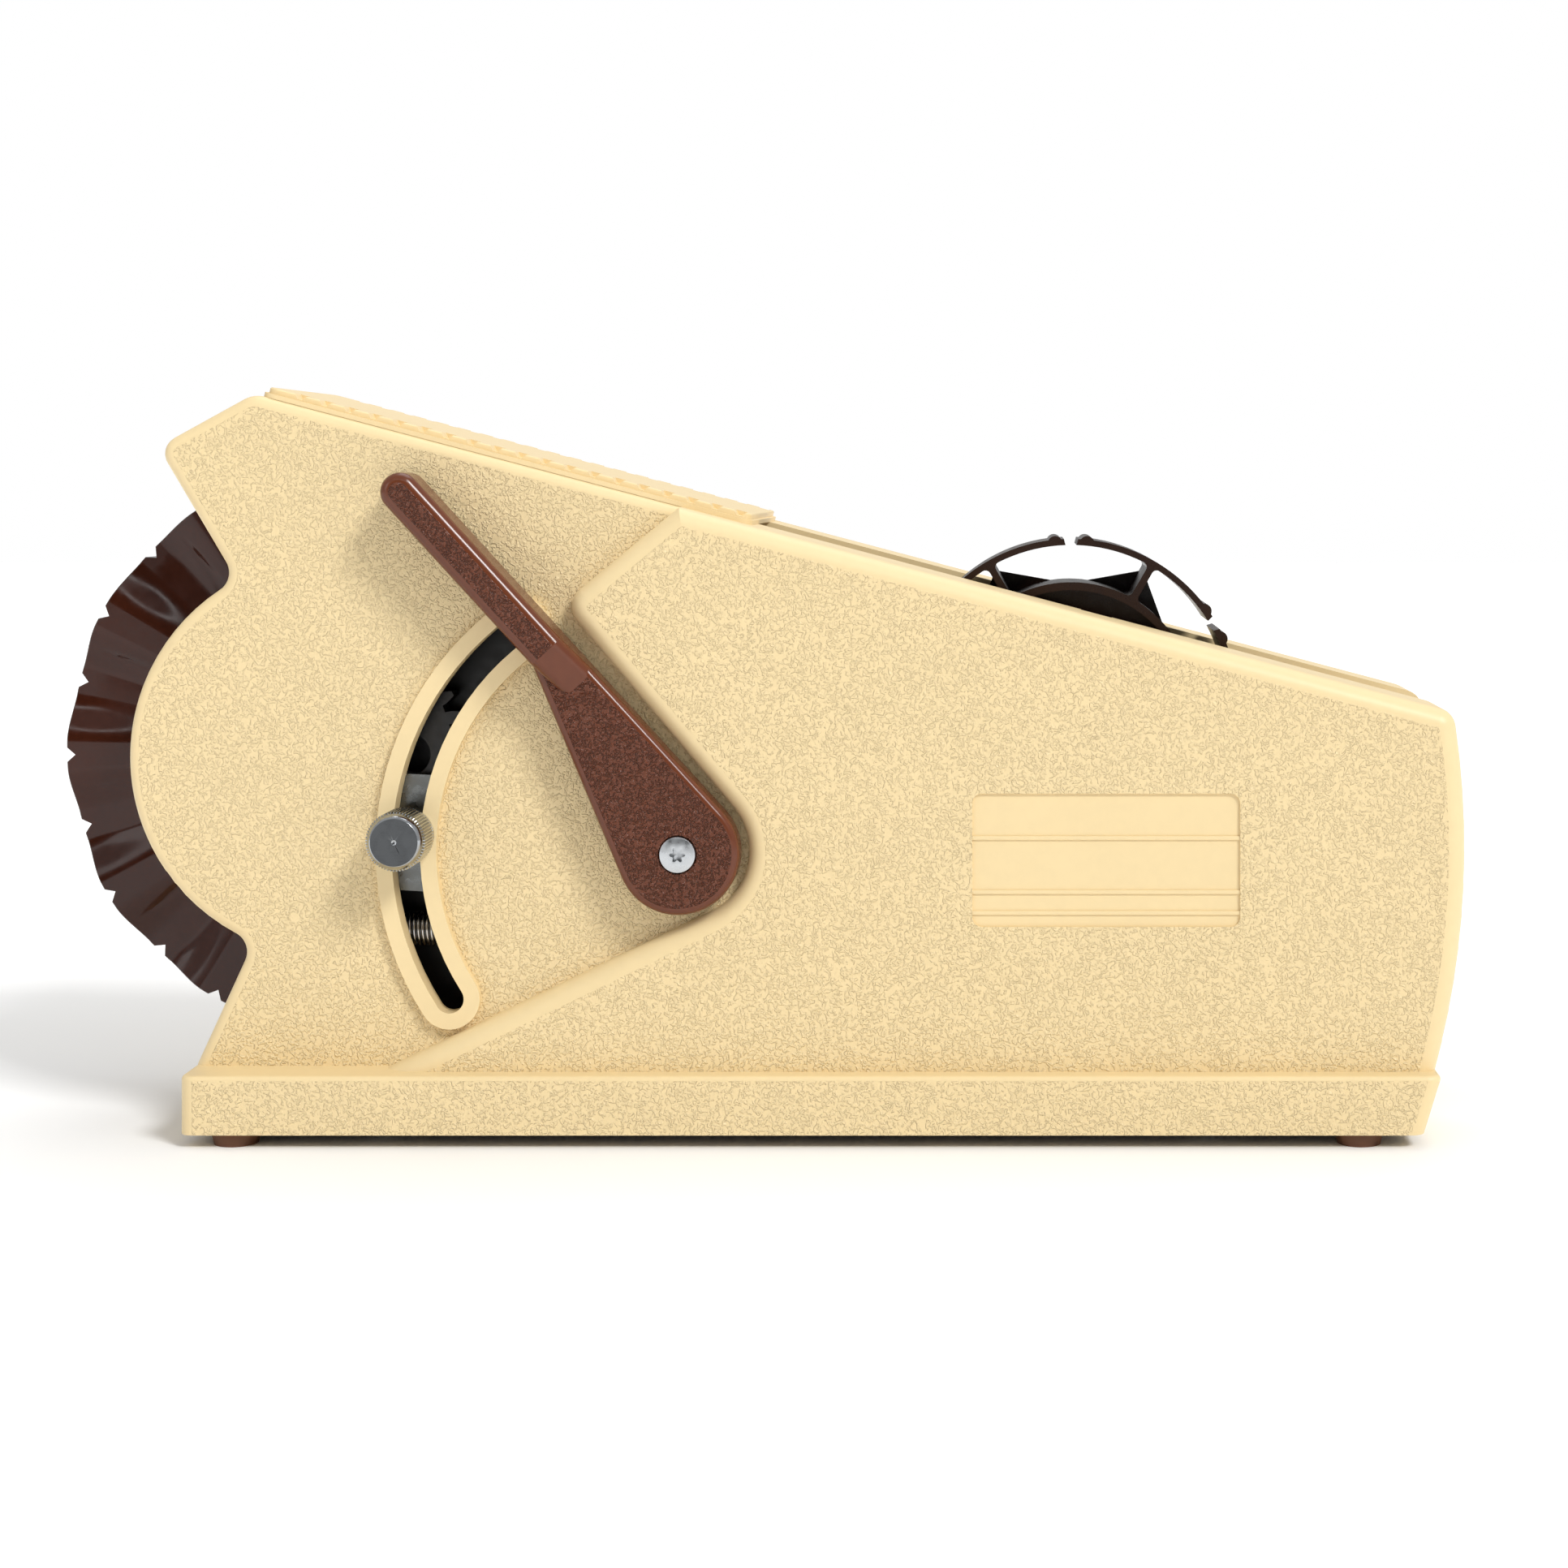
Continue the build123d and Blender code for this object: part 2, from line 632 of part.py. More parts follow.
# ---------------------------------------------------------------- feed wheel
with BuildPart() as feed_wheel:
    with BuildSketch(side(wheel_half)):
        with Locations(wheel_centre):
            Circle(wheel_r)
            Circle(wheel_core_r, mode=Mode.SUBTRACT)
            with PolarLocations(wheel_r, notch_count, start_angle=notch_phase):
                flank = notch_width * 0.7
                mouth = notch_depth * 0.4
                Polygon((-notch_depth, 0), (mouth, flank), (mouth, -flank), align=None, mode=Mode.SUBTRACT)
    extrude(amount=wheel_width)
save(feed_wheel, "feed_wheel")

with BuildPart() as wheel_core:
    with BuildSketch(side(wheel_half)):
        with Locations(wheel_centre):
            Circle(axle_r + 5.0)
            Circle(axle_r, mode=Mode.SUBTRACT)
    extrude(amount=wheel_width)
    with BuildSketch(side(wheel_half)):
        with Locations(wheel_centre):
            Circle(wheel_core_r)
            Circle(wheel_core_r - 3.0, mode=Mode.SUBTRACT)
    extrude(amount=wheel_width)
    with BuildSketch(side(1.5)):
        with Locations(wheel_centre):
            Circle(wheel_core_r - 2.0)
            Circle(axle_r + 1.0, mode=Mode.SUBTRACT)
            with PolarLocations(21.0, 6, start_angle=30):
                Circle(6.0, mode=Mode.SUBTRACT)
    extrude(amount=3.0)
save(wheel_core, "wheel_core")

clip_t, clip_gap, clip_wall = 0.8, 0.1, 2.4
clutch_case_end = panel_out + 7.5
axle_near_end = gear_near_y - clip_gap - clip_t - 0.6
axle_far_end = clutch_case_end + clip_gap + clip_t + 0.6
with BuildPart() as wheel_axle:
    with BuildSketch(side(axle_far_end)):
        with Locations(wheel_centre):
            Circle(axle_r)
    extrude(amount=axle_far_end - axle_near_end)
save(wheel_axle, "wheel_axle")

with BuildPart() as axle_clips:
    for y in (clutch_case_end + clip_gap + clip_t, gear_near_y - clip_gap):
        with BuildSketch(side(y)):
            with Locations(wheel_centre):
                Circle(axle_r + clip_wall)
                Circle(axle_r, mode=Mode.SUBTRACT)
        extrude(amount=clip_t)
save(axle_clips, "axle_clips")

bush_collar = 2.0
with BuildPart() as near_axle_bush:
    with BuildSketch(side(-gap_half)):
        with Locations(wheel_centre):
            Circle(axle_bush_r)
            Circle(axle_r + running_gap, mode=Mode.SUBTRACT)
    extrude(amount=panel_t + bush_collar)
    with BuildSketch(side(-panel_out)):
        with Locations(wheel_centre):
            Circle(axle_bush_r + 2.0)
            Circle(axle_r + running_gap, mode=Mode.SUBTRACT)
    extrude(amount=bush_collar)
save(near_axle_bush, "near_axle_bush")

with BuildPart() as thrust_washer:
    with BuildSketch(side(-(panel_out + bush_collar + clip_gap))):
        with Locations(wheel_centre):
            Circle(axle_r + 2.4)
            Circle(axle_r, mode=Mode.SUBTRACT)
    extrude(amount=gear_from_panel - bush_collar - 2 * clip_gap)
save(thrust_washer, "thrust_washer")

with BuildPart() as holdback_clutch:
    with BuildSketch(side(clutch_case_end)):
        with Locations(wheel_centre):
            Circle(clutch_case_r)
            Circle(axle_r + running_gap, mode=Mode.SUBTRACT)
    extrude(amount=clutch_case_end - gap_half)
save(holdback_clutch, "holdback_clutch")

# ---------------------------------------------------------------- gear train
drive_clutch_r = 7.0
with BuildPart() as clutch_gear:
    with BuildSketch(side(gear_far_y)):
        with Locations(wheel_centre):
            add(gear_outline(gear_teeth, clutch_tooth))
            Circle(drive_clutch_r, mode=Mode.SUBTRACT)
            with PolarLocations(16.5, 6):
                Circle(4.5, mode=Mode.SUBTRACT)
    extrude(amount=gear_width)
save(clutch_gear, "clutch_gear")

with BuildPart() as drive_clutch:
    with BuildSketch(side(gear_far_y)):
        with Locations(wheel_centre):
            Circle(drive_clutch_r)
            Circle(axle_r + running_gap, mode=Mode.SUBTRACT)
    extrude(amount=gear_width)
save(drive_clutch, "drive_clutch")

with BuildPart() as idler_gear:
    with BuildSketch(side(gear_far_y)):
        with Locations(idler):
            add(gear_outline(idler_teeth, idler_tooth))
            Circle(idler_pin_r + running_gap, mode=Mode.SUBTRACT)
    extrude(amount=gear_width)
save(idler_gear, "idler_gear")

with BuildPart() as idler_pin:
    with BuildSketch(side(-gap_half)):
        with Locations(idler):
            Circle(idler_pin_r)
    extrude(amount=-gear_near_y - gap_half + clip_gap + 1.0)
    with BuildSketch(side(gear_near_y - clip_gap)):
        with Locations(idler):
            Circle(idler_pin_r + 1.8)
    extrude(amount=1.0)
    with BuildSketch(side(-panel_out)):
        with Locations(idler):
            Circle(idler_collar_r)
    extrude(amount=gear_from_panel - clip_gap)
save(idler_pin, "idler_pin")

sector_hub_r = 10.0
with BuildPart() as sector_gear:
    with BuildSketch(side(gear_far_y)):
        with Locations(pivot):
            add(gear_outline(gear_teeth, pivot_to_idler))
        with BuildLine():
            reach = 2 * gear_pitch_r
            middle = (sector_first + sector_last) / 2
            Polyline(pivot, polar(pivot, reach, sector_first), polar(pivot, reach, middle),
                     polar(pivot, reach, sector_last), close=True)
        make_face(mode=Mode.INTERSECT)
        with Locations(pivot):
            Circle(sector_hub_r)
            Circle(shaft_r, mode=Mode.SUBTRACT)
    extrude(amount=gear_width)
    with BuildSketch(side(gear_far_y)):
        with Locations((pivot_x, pivot_z - spring_arm / 2)):
            Rectangle(2 * peg_r + 4.0, spring_arm)
        with Locations((pivot_x, spring_z)):
            Circle(peg_r + 2.0)
        with Locations(pivot):
            Circle(shaft_r, mode=Mode.SUBTRACT)
    extrude(amount=1.5)
    with BuildSketch(side(gear_far_y)):
        with Locations((pivot_x, spring_z)):
            Circle(peg_r)
    extrude(amount=gear_width)
save(sector_gear, "sector_gear")

with BuildPart() as rest_bumper:
    with BuildSketch(side(gear_far_y)):
        with Locations(bumper_centre):
            Circle(bumper_r)
            Circle(bumper_pin_r, mode=Mode.SUBTRACT)
    extrude(amount=gear_width)
save(rest_bumper, "rest_bumper")

with BuildPart() as bumper_pin:
    with BuildSketch(side(-gap_half)):
        with Locations(bumper_centre):
            Circle(bumper_pin_r)
    extrude(amount=panel_t + gear_from_panel + gear_width)
    with BuildSketch(side(-panel_out)):
        with Locations(bumper_centre):
            Circle(bumper_pin_r + 1.0)
    extrude(amount=gear_from_panel)
save(bumper_pin, "bumper_pin")

# Thin plate behind the slot, cut out around the collar of the idler's pin.
gear_plate_t, gear_plate_gap = 1.0, 0.1
gear_plate_x, gear_plate_z = (-81.0, -26.0), (24.0, 122.0)
with BuildPart() as gear_plate:
    with BuildSketch(side(-panel_out)):
        with Locations((sum(gear_plate_x) / 2, sum(gear_plate_z) / 2)):
            Rectangle(gear_plate_x[1] - gear_plate_x[0], gear_plate_z[1] - gear_plate_z[0])
        with Locations(idler):
            Circle(idler_collar_r + gear_plate_gap, mode=Mode.SUBTRACT)
    extrude(amount=gear_plate_t)
save(gear_plate, "gear_plate")

# ---------------------------------------------------------------- lever and shaft
bush_face_y = -(recess_y + lip_height + lever_gap / 2)
stop_bearing_end = stop_far_y + 0.5
with BuildPart() as near_shaft_bush:
    with BuildSketch(side(stop_bearing_end)):
        with Locations(pivot):
            Circle(bush_r)
            Circle(shaft_r + running_gap, mode=Mode.SUBTRACT)
    extrude(amount=stop_bearing_end - bush_face_y)
save(near_shaft_bush, "near_shaft_bush")

inner_boss_y = -(panel_out + gear_from_panel - 1.5)
with BuildPart() as inner_shaft_bush:
    with BuildSketch(side(-gap_half)):
        with Locations(pivot):
            Circle(bush_r)
            Circle(shaft_r + running_gap, mode=Mode.SUBTRACT)
    extrude(amount=-inner_boss_y - gap_half)
save(inner_shaft_bush, "inner_shaft_bush")

hex_length = 4.3
screw_r, screw_length = 2.0, 12.0
with BuildPart() as lever_shaft:
    with BuildSketch(side(-gap_half)):
        with Locations(pivot):
            Circle(shaft_r)
    extrude(amount=-lever_back_y - gap_half)
    with BuildSketch(side(lever_back_y)):
        with Locations(pivot):
            RegularPolygon(shaft_end_r, 6)
    extrude(amount=hex_length)
    with BuildSketch(side(lever_back_y - hex_length + screw_length)):
        with Locations(pivot):
            Circle(screw_r)
    extrude(amount=screw_length, mode=Mode.SUBTRACT)
save(lever_shaft, "lever_shaft")

screw_head_r, screw_head_t, screw_sink = 3.9, 1.3, 0.8
plate_front_y = lever_back_y - lever_plate_t
with BuildPart() as lever:
    with BuildSketch(side(lever_back_y)):
        add(lever_outline())
    extrude(amount=lever_plate_t)
    fillet(lever.faces().sort_by(Axis.Y)[0].edges(), radius=lever_edge_r)
    right_angle = lever_points()[0]
    along = Vector(cos(radians(right_angle)), 0, sin(radians(right_angle)))
    arm_reach = lever_ramp_end + lever_edge_r
    with BuildPart(mode=Mode.PRIVATE) as arm:
        with BuildSketch(side(lever_back_y)):
            with Locations(tip):
                Circle(lever_tip_r)
            with Locations(polar(tip, arm_reach / 2, right_angle)):
                Rectangle(arm_reach, 2 * lever_tip_r, rotation=right_angle)
        extrude(amount=lever_arm_t)
        ramp_plane = Plane(origin=(tip_x, 0, tip_z), x_dir=tuple(along), z_dir=(along.Z, 0, -along.X))
        ramp_back, ramp_front = lever_back_y - lever_plate_t, lever_back_y - lever_arm_t
        with BuildSketch(ramp_plane) as ramp:
            with BuildLine():
                past = arm_reach + 1.0
                slope = lever_ramp_end - lever_ramp_start
                low = ramp_back + (past - lever_ramp_end) * (ramp_back - ramp_front) / slope
                sign = ramp_plane.y_dir.Y
                Polyline(
                    (lever_ramp_start, sign * ramp_front), (lever_ramp_start, sign * (ramp_front - 1)),
                    (past, sign * (ramp_front - 1)), (past, sign * low), close=True,
                )
            make_face()
        extrude(amount=2 * lever_tip_r, both=True, mode=Mode.SUBTRACT)
        rim = arm.edges().filter_by(lambda e: e.center().Y < ramp_back - 0.3 and e.length > 2.0)
        rim = rim.filter_by(lambda e: abs(e.tangent_at(0.5).Y) < 0.9)
        rim = rim.filter_by(lambda e: not (e.length < 2 * lever_tip_r + 0.01 and abs(e.tangent_at(0.5).dot(along)) < 0.01))
        fillet(rim, radius=lever_arm_edge_r)
    add(arm.part)
    with BuildSketch(side(lever_back_y)):
        with Locations(pivot):
            RegularPolygon(shaft_end_r, 6)
    extrude(amount=hex_length, mode=Mode.SUBTRACT)
    with BuildSketch(side(lever_back_y)):
        with Locations(pivot):
            Circle(screw_r + 0.2)
    extrude(amount=lever_plate_t, mode=Mode.SUBTRACT)
    with BuildSketch(side(plate_front_y + screw_sink)):
        with Locations(pivot):
            Circle(screw_head_r + 0.3)
    extrude(amount=screw_sink, mode=Mode.SUBTRACT)
save(lever, "lever")

with BuildPart() as lever_screw:
    with BuildSketch(side(plate_front_y + screw_sink)):
        with Locations(pivot):
            Circle(screw_head_r)
    extrude(amount=screw_head_t)
    with BuildSketch(side(lever_back_y - hex_length + screw_length)):
        with Locations(pivot):
            Circle(screw_r)
    extrude(amount=screw_length - hex_length + lever_plate_t - screw_sink)
save(lever_screw, "lever_screw")

# ---------------------------------------------------------------- length stop
stop_direction = radians(stop_angle)
stop_centre = polar(pivot, slot_r, stop_angle)


def along_stop(reach, across):
    """Point at reach from the pivot along the stop's arm and across to its side."""
    x = pivot_x + reach * cos(stop_direction) - across * sin(stop_direction)
    z = pivot_z + reach * sin(stop_direction) + across * cos(stop_direction)
    return (x, z)


stop_hub_r = bush_r + 4.0
with BuildPart() as stop_plate:
    with BuildSketch(side(stop_far_y)):
        with BuildLine():
            Polyline(
                along_stop(0, stop_hub_r * 0.9), along_stop(slot_r - 14, stop_plate_half),
                along_stop(slot_r + stop_plate_reach, stop_plate_half),
                along_stop(slot_r + stop_plate_reach, -stop_plate_half),
                along_stop(slot_r - 14, -stop_plate_half), along_stop(0, -stop_hub_r * 0.9), close=True,
            )
        make_face()
        with Locations(pivot):
            Circle(stop_hub_r)
            Circle(bush_r + running_gap, mode=Mode.SUBTRACT)
        with Locations(stop_centre):
            Circle(stud_r, mode=Mode.SUBTRACT)
    extrude(amount=stop_plate_t)
save(stop_plate, "stop_plate")

lip_y = -(recess_y + lip_height)
washer_far_y = lip_y - 0.1
nut_far_y = washer_far_y - nut_washer_t - 0.05
stud_head_t = 0.8
with BuildPart() as stop_stud:
    with BuildSketch(side(stop_far_y)):
        with Locations(stop_centre):
            Circle(stud_r)
    extrude(amount=stop_far_y - nut_far_y + nut_length - 3.0)
    with BuildSketch(side(stop_far_y + stud_head_t)):
        with Locations(stop_centre):
            Circle(stud_r + 1.5)
    extrude(amount=stud_head_t)
save(stop_stud, "stop_stud")

with BuildPart() as nut_washer:
    with BuildSketch(side(washer_far_y)):
        with Locations(stop_centre):
            Circle(nut_r - 0.3)
            Circle(stud_r, mode=Mode.SUBTRACT)
    extrude(amount=nut_washer_t)
save(nut_washer, "nut_washer")

nut_bevel = 0.9
knurl_depth = 0.4
with BuildPart() as thumb_nut:
    with BuildSketch(side(nut_far_y)):
        with Locations(stop_centre):
            Circle(nut_r)
            with PolarLocations(nut_r, nut_knurls):
                Rectangle(knurl_depth, knurl_depth, rotation=45, mode=Mode.SUBTRACT)
    extrude(amount=nut_length - nut_bevel)
    with BuildSketch(side(nut_far_y - nut_length + nut_bevel)):
        with Locations(stop_centre):
            Circle(nut_r - knurl_depth)
    extrude(amount=nut_bevel, taper=40)
    with BuildSketch(side(nut_far_y)):
        with Locations(stop_centre):
            Circle(stud_r + running_gap)
    extrude(amount=nut_length - 2.9, mode=Mode.SUBTRACT)
save(thumb_nut, "thumb_nut")

# ---------------------------------------------------------------- return spring and its post
spring_y = gear_far_y - 3.0
hook_r = post_r + 0.3 + spring_wire_r
coil_start, coil_end = spring_x + 6.0, pivot_x - 6.0
with BuildPart() as return_spring:
    with BuildSketch(Plane(origin=(coil_start, spring_y, spring_z), x_dir=(0, 1, 0), z_dir=(1, 0, 0))):
        Circle(spring_r)
        Circle(spring_r - 2 * spring_wire_r, mode=Mode.SUBTRACT)
    extrude(amount=coil_end - coil_start)
    for x, direction in ((spring_x, 1), (pivot_x, -1)):
        hook_end = coil_start if direction > 0 else coil_end
        with BuildSketch(side(spring_y + spring_wire_r)):
            with Locations((x, spring_z)):
                Circle(hook_r + spring_wire_r)
                Circle(hook_r - spring_wire_r, mode=Mode.SUBTRACT)
            run = abs(hook_end - x) - hook_r
            with Locations((x + direction * (hook_r + run / 2), spring_z)):
                Rectangle(run + 0.4, 2 * spring_wire_r)
        extrude(amount=2 * spring_wire_r)
        with BuildSketch(Plane(origin=(hook_end, spring_y, spring_z), x_dir=(0, 1, 0), z_dir=(direction, 0, 0))):
            Circle(spring_r)
        extrude(amount=spring_wire_r)
save(return_spring, "return_spring")

with BuildPart() as spring_post:
    with BuildSketch(side(-gap_half)):
        with Locations((spring_x, spring_z)):
            Circle(post_r)
    extrude(amount=-gear_near_y - gap_half)
    with BuildSketch(side(-panel_out)):
        with Locations((spring_x, spring_z)):
            Circle(post_r + 2.0)
    extrude(amount=gear_from_panel)
save(spring_post, "spring_post")

# ---------------------------------------------------------------- press roller, guide rod
arm_out = gap_half - arm_inset
arm_hub_r = arm_pin_r + 1.6
roller_pin_r = 1.5
with BuildPart() as roller_arm:
    with BuildSketch(side(arm_out)):
        with Locations((arm_pin_x, arm_pin_z)):
            Circle(arm_hub_r)
            Circle(arm_pin_r + running_gap, mode=Mode.SUBTRACT)
    extrude(amount=2 * arm_out)
    for y in (arm_out, arm_t - arm_out):
        with BuildSketch(side(y)):
            dx, dz = roller_centre[0] - arm_pin_x, roller_centre[1] - arm_pin_z
            with Locations((arm_pin_x + dx / 2, arm_pin_z + dz / 2)):
                Rectangle(hypot(dx, dz), 2 * arm_hub_r - 1.0, rotation=degrees(atan2(dz, dx)))
            with Locations(roller_centre):
                Circle(arm_hub_r - 0.5)
                Circle(roller_pin_r, mode=Mode.SUBTRACT)
            with Locations((arm_pin_x, arm_pin_z)):
                Circle(arm_pin_r + running_gap, mode=Mode.SUBTRACT)
        extrude(amount=arm_t)
save(roller_arm, "roller_arm")

with BuildPart() as arm_pin:
    with BuildSketch(side(panel_out)):
        with Locations((arm_pin_x, arm_pin_z)):
            Circle(arm_pin_r)
    extrude(amount=2 * panel_out)
save(arm_pin, "arm_pin")

with BuildPart() as roller_pin:
    with BuildSketch(side(arm_out)):
        with Locations(roller_centre):
            Circle(roller_pin_r)
    extrude(amount=2 * arm_out)
save(roller_pin, "roller_pin")

roller_half = arm_out - arm_t - 0.2
with BuildPart() as press_roller:
    with BuildSketch(side(roller_half)):
        with Locations(roller_centre):
            Circle(roller_r)
            Circle(roller_pin_r + running_gap, mode=Mode.SUBTRACT)
    extrude(amount=2 * roller_half)
save(press_roller, "press_roller")

with BuildPart() as guide_rod:
    with BuildSketch(side(gap_half)):
        with Locations((guide_x, guide_z)):
            Circle(guide_r)
    extrude(amount=tape_gap)
    with BuildSketch(side(panel_out)):
        with Locations((guide_x, guide_z)):
            Circle(guide_pin_r)
    extrude(amount=2 * panel_out)
save(guide_rod, "guide_rod")

# ---------------------------------------------------------------- cutter
blade_screw_r, blade_screw_y, blade_screw_at = 1.5, 7.0, 10.0
blade_plane = Plane(
    origin=(blade_edge[0], 0, blade_edge[1]), x_dir=(0, 1, 0), z_dir=(blade_back[0], 0, blade_back[1])
)
tooth_pitch = wheel_width / blade_teeth
with BuildPart() as cutter_blade:
    with BuildSketch(blade_plane):
        edge = [(-wheel_half, tooth_pitch / 2)]
        for tooth in range(blade_teeth):
            left = -wheel_half + tooth * tooth_pitch
            edge += [(left + tooth_pitch / 2, -tooth_pitch / 2), (left + tooth_pitch, tooth_pitch / 2)]
        with BuildLine():
            Polyline(*edge, (wheel_half, blade_reach), (-wheel_half, blade_reach), close=True)
        make_face()
        with Locations((-blade_screw_y, blade_screw_at), (blade_screw_y, blade_screw_at)):
            Circle(blade_screw_r, mode=Mode.SUBTRACT)
    extrude(amount=blade_t)
save(cutter_blade, "cutter_blade")

with BuildPart() as blade_holder:
    with BuildSketch(side(gap_half)):
        with BuildLine():
            Polyline(
                blade_point(4.0, blade_t), blade_point(blade_reach, blade_t),
                blade_point(blade_reach, blade_t + holder_t), blade_point(7.5, blade_t + holder_t * 2 / 3),
                close=True,
            )
        make_face()
        with Locations(holder_screw_place):
            Circle(holder_screw_r, mode=Mode.SUBTRACT)
    extrude(amount=tape_gap)
    with BuildSketch(blade_plane.offset(blade_t)):
        with Locations((-blade_screw_y, blade_screw_at), (blade_screw_y, blade_screw_at)):
            Circle(blade_screw_r)
    extrude(amount=holder_t - 1.5, mode=Mode.SUBTRACT)
save(blade_holder, "blade_holder")

with BuildPart() as blade_screws:
    with BuildSketch(blade_plane.offset(-1.5)):
        with Locations((-blade_screw_y, blade_screw_at), (blade_screw_y, blade_screw_at)):
            Circle(blade_screw_r * 1.8)
    extrude(amount=1.5)
    with BuildSketch(blade_plane):
        with Locations((-blade_screw_y, blade_screw_at), (blade_screw_y, blade_screw_at)):
            Circle(blade_screw_r)
    extrude(amount=blade_t + holder_t - 2.0)
save(blade_screws, "blade_screws")

with BuildPart() as holder_screws:
    for sign in (1, -1):
        far = panel_out + 2.0 if sign > 0 else -panel_out
        with BuildSketch(side(far)):
            with Locations(holder_screw_place):
                Circle(holder_screw_r * 2)
        extrude(amount=2.0)
        far = panel_out if sign > 0 else -gap_half + 4.0
        with BuildSketch(side(far)):
            with Locations(holder_screw_place):
                Circle(holder_screw_r)
        extrude(amount=panel_t + 4.0)
save(holder_screws, "holder_screws")

# ---------------------------------------------------------------- tape hub
hub_axle_half = panel_out - 0.1
hub_centre = (hub_x, hub_z)


def is_spoke_root(edge):
    """Whether an edge across the hub lies in the corner between a spoke and the ring or an arc."""
    dx, dz = edge.center().X - hub_x, edge.center().Z - hub_z
    away = abs((degrees(atan2(dz, dx)) + 30) % 60 - 30)
    beside_spoke = hypot(dx, dz) * sin(radians(away)) < hub_spoke_t
    return beside_spoke and min(abs(hypot(dx, dz) - r) for r in (hub_ring_r, hub_arc_r - hub_arc_t)) < 0.1


with BuildPart() as tape_hub:
    with BuildSketch(side(hub_half)):
        with Locations(hub_centre):
            Circle(hub_arc_r)
            for gap in range(6):
                for sign in (-1, 1):
                    spot = polar((0, 0), hub_arc_r - hub_arc_t / 2 - 0.2, 30 + 60 * gap + sign * hub_bump_angle)
                    with Locations(spot):
                        Circle(hub_bump_r)
            Circle(hub_arc_r - hub_arc_t, mode=Mode.SUBTRACT)
            half = hub_arc_r * sin(radians(hub_gap))
            with PolarLocations(hub_arc_r - hub_arc_t, 6, start_angle=30):
                taper = [(-1.0, half), (2 * hub_arc_t, half + hub_tip_taper), (2 * hub_arc_t, -half - hub_tip_taper), (-1.0, -half)]
                Polygon(*taper, align=None, mode=Mode.SUBTRACT)
            with PolarLocations((hub_ring_r + hub_arc_r) / 2 - 0.7, 6):
                Rectangle(hub_arc_r - hub_ring_r + 0.6, hub_spoke_t)
            Circle(hub_ring_r)
            Circle(hub_ring_r - hub_ring_t, mode=Mode.SUBTRACT)
    extrude(amount=hub_width)
    spoke_roots = tape_hub.edges().filter_by(Axis.Y).filter_by(is_spoke_root)
    fillet(spoke_roots, radius=hub_gusset_r)
    with BuildSketch(side(hub_half)):
        with Locations(hub_centre):
            star = []
            for k in range(6):
                star += [polar((0, 0), star_tip_r, 60 * k), polar((0, 0), star_valley_r, 60 * k + 30)]
            Polygon(*star, align=None)
            Circle(hub_axle_r, mode=Mode.SUBTRACT)
    extrude(amount=2.0)
    with BuildSketch(side(hub_half)):
        with Locations(hub_centre):
            Circle(hub_axle_r + 2.5)
            Circle(hub_axle_r + running_gap, mode=Mode.SUBTRACT)
    extrude(amount=hub_width)
    with BuildSketch(side(-hub_half + 6.0)):
        with Locations(hub_centre):
            Circle(hub_ring_r - hub_ring_t / 2)
            Circle(hub_axle_r + 1.0, mode=Mode.SUBTRACT)
    extrude(amount=2.0)
    with BuildSketch(side(hub_half)):
        with Locations(hub_centre):
            Circle(hub_axle_r + running_gap)
    extrude(amount=hub_width, mode=Mode.SUBTRACT)
save(tape_hub, "tape_hub")

with BuildPart() as hub_axle:
    with BuildSketch(side(hub_axle_half)):
        with Locations(hub_centre):
            Circle(hub_axle_r)
    extrude(amount=2 * hub_axle_half)
save(hub_axle, "hub_axle")

# ---------------------------------------------------------------- top cover
cover_length = (cover_rear_x - cover_front_x) / cos(radians(top_slope))
cover_corner_r, cover_edge_r = 3.0, 0.4
tab_t, tab_depth, tab_gap, tab_length = 1.6, 5.0, 0.4, 10.0
tab_places = (-94.0, -15.0)


def slope_section(x, lift, y):
    """Plane across the width at depth y: its x runs down the top's slope and its y is the top's normal."""
    origin = top_plane(x, lift).origin + Vector(0, y, 0)
    return Plane(origin=origin, x_dir=top_plane(x).x_dir, z_dir=(0, -1, 0))


with BuildPart() as top_cover:
    with BuildSketch(top_plane(cover_front_x)):
        with Locations((cover_length / 2, 0)):
            RectangleRounded(cover_length, 2 * cover_lip_half, cover_corner_r)
    extrude(amount=cover_lip_t)
    inset = cover_lip_half - cover_half
    with BuildSketch(top_plane(cover_front_x, cover_lip_t)):
        with Locations((cover_length / 2, 0)):
            RectangleRounded(cover_length - inset, 2 * cover_half, cover_corner_r - inset / 2)
    extrude(amount=cover_t)
    normal_axis = Axis((0, 0, 0), tuple(top_plane(cover_front_x).z_dir))
    fillet(top_cover.faces().sort_by(normal_axis)[-1].edges(), radius=cover_edge_r)
    for groove in range(groove_count):
        x = groove_first_x + groove * groove_pitch
        for y in (groove_length - cover_half, cover_half + 1.0):
            with BuildSketch(slope_section(x, cover_lip_t + cover_t, y)):
                top_half, floor_half = groove_width / 2, groove_floor / 2
                Polygon((-top_half, 0), (-floor_half, -groove_depth), (floor_half, -groove_depth), (top_half, 0),
                        (top_half, 1), (-top_half, 1), align=None)
            extrude(amount=groove_length + 1.0, mode=Mode.SUBTRACT)
    for x in tab_places:
        for y in (gap_half - tab_gap, -gap_half + tab_gap + tab_t):
            with BuildSketch(slope_section(x, 0, y)):
                with Locations((tab_length / 2, -tab_depth / 2)):
                    Rectangle(tab_length, tab_depth)
            extrude(amount=tab_t)
save(top_cover, "top_cover")
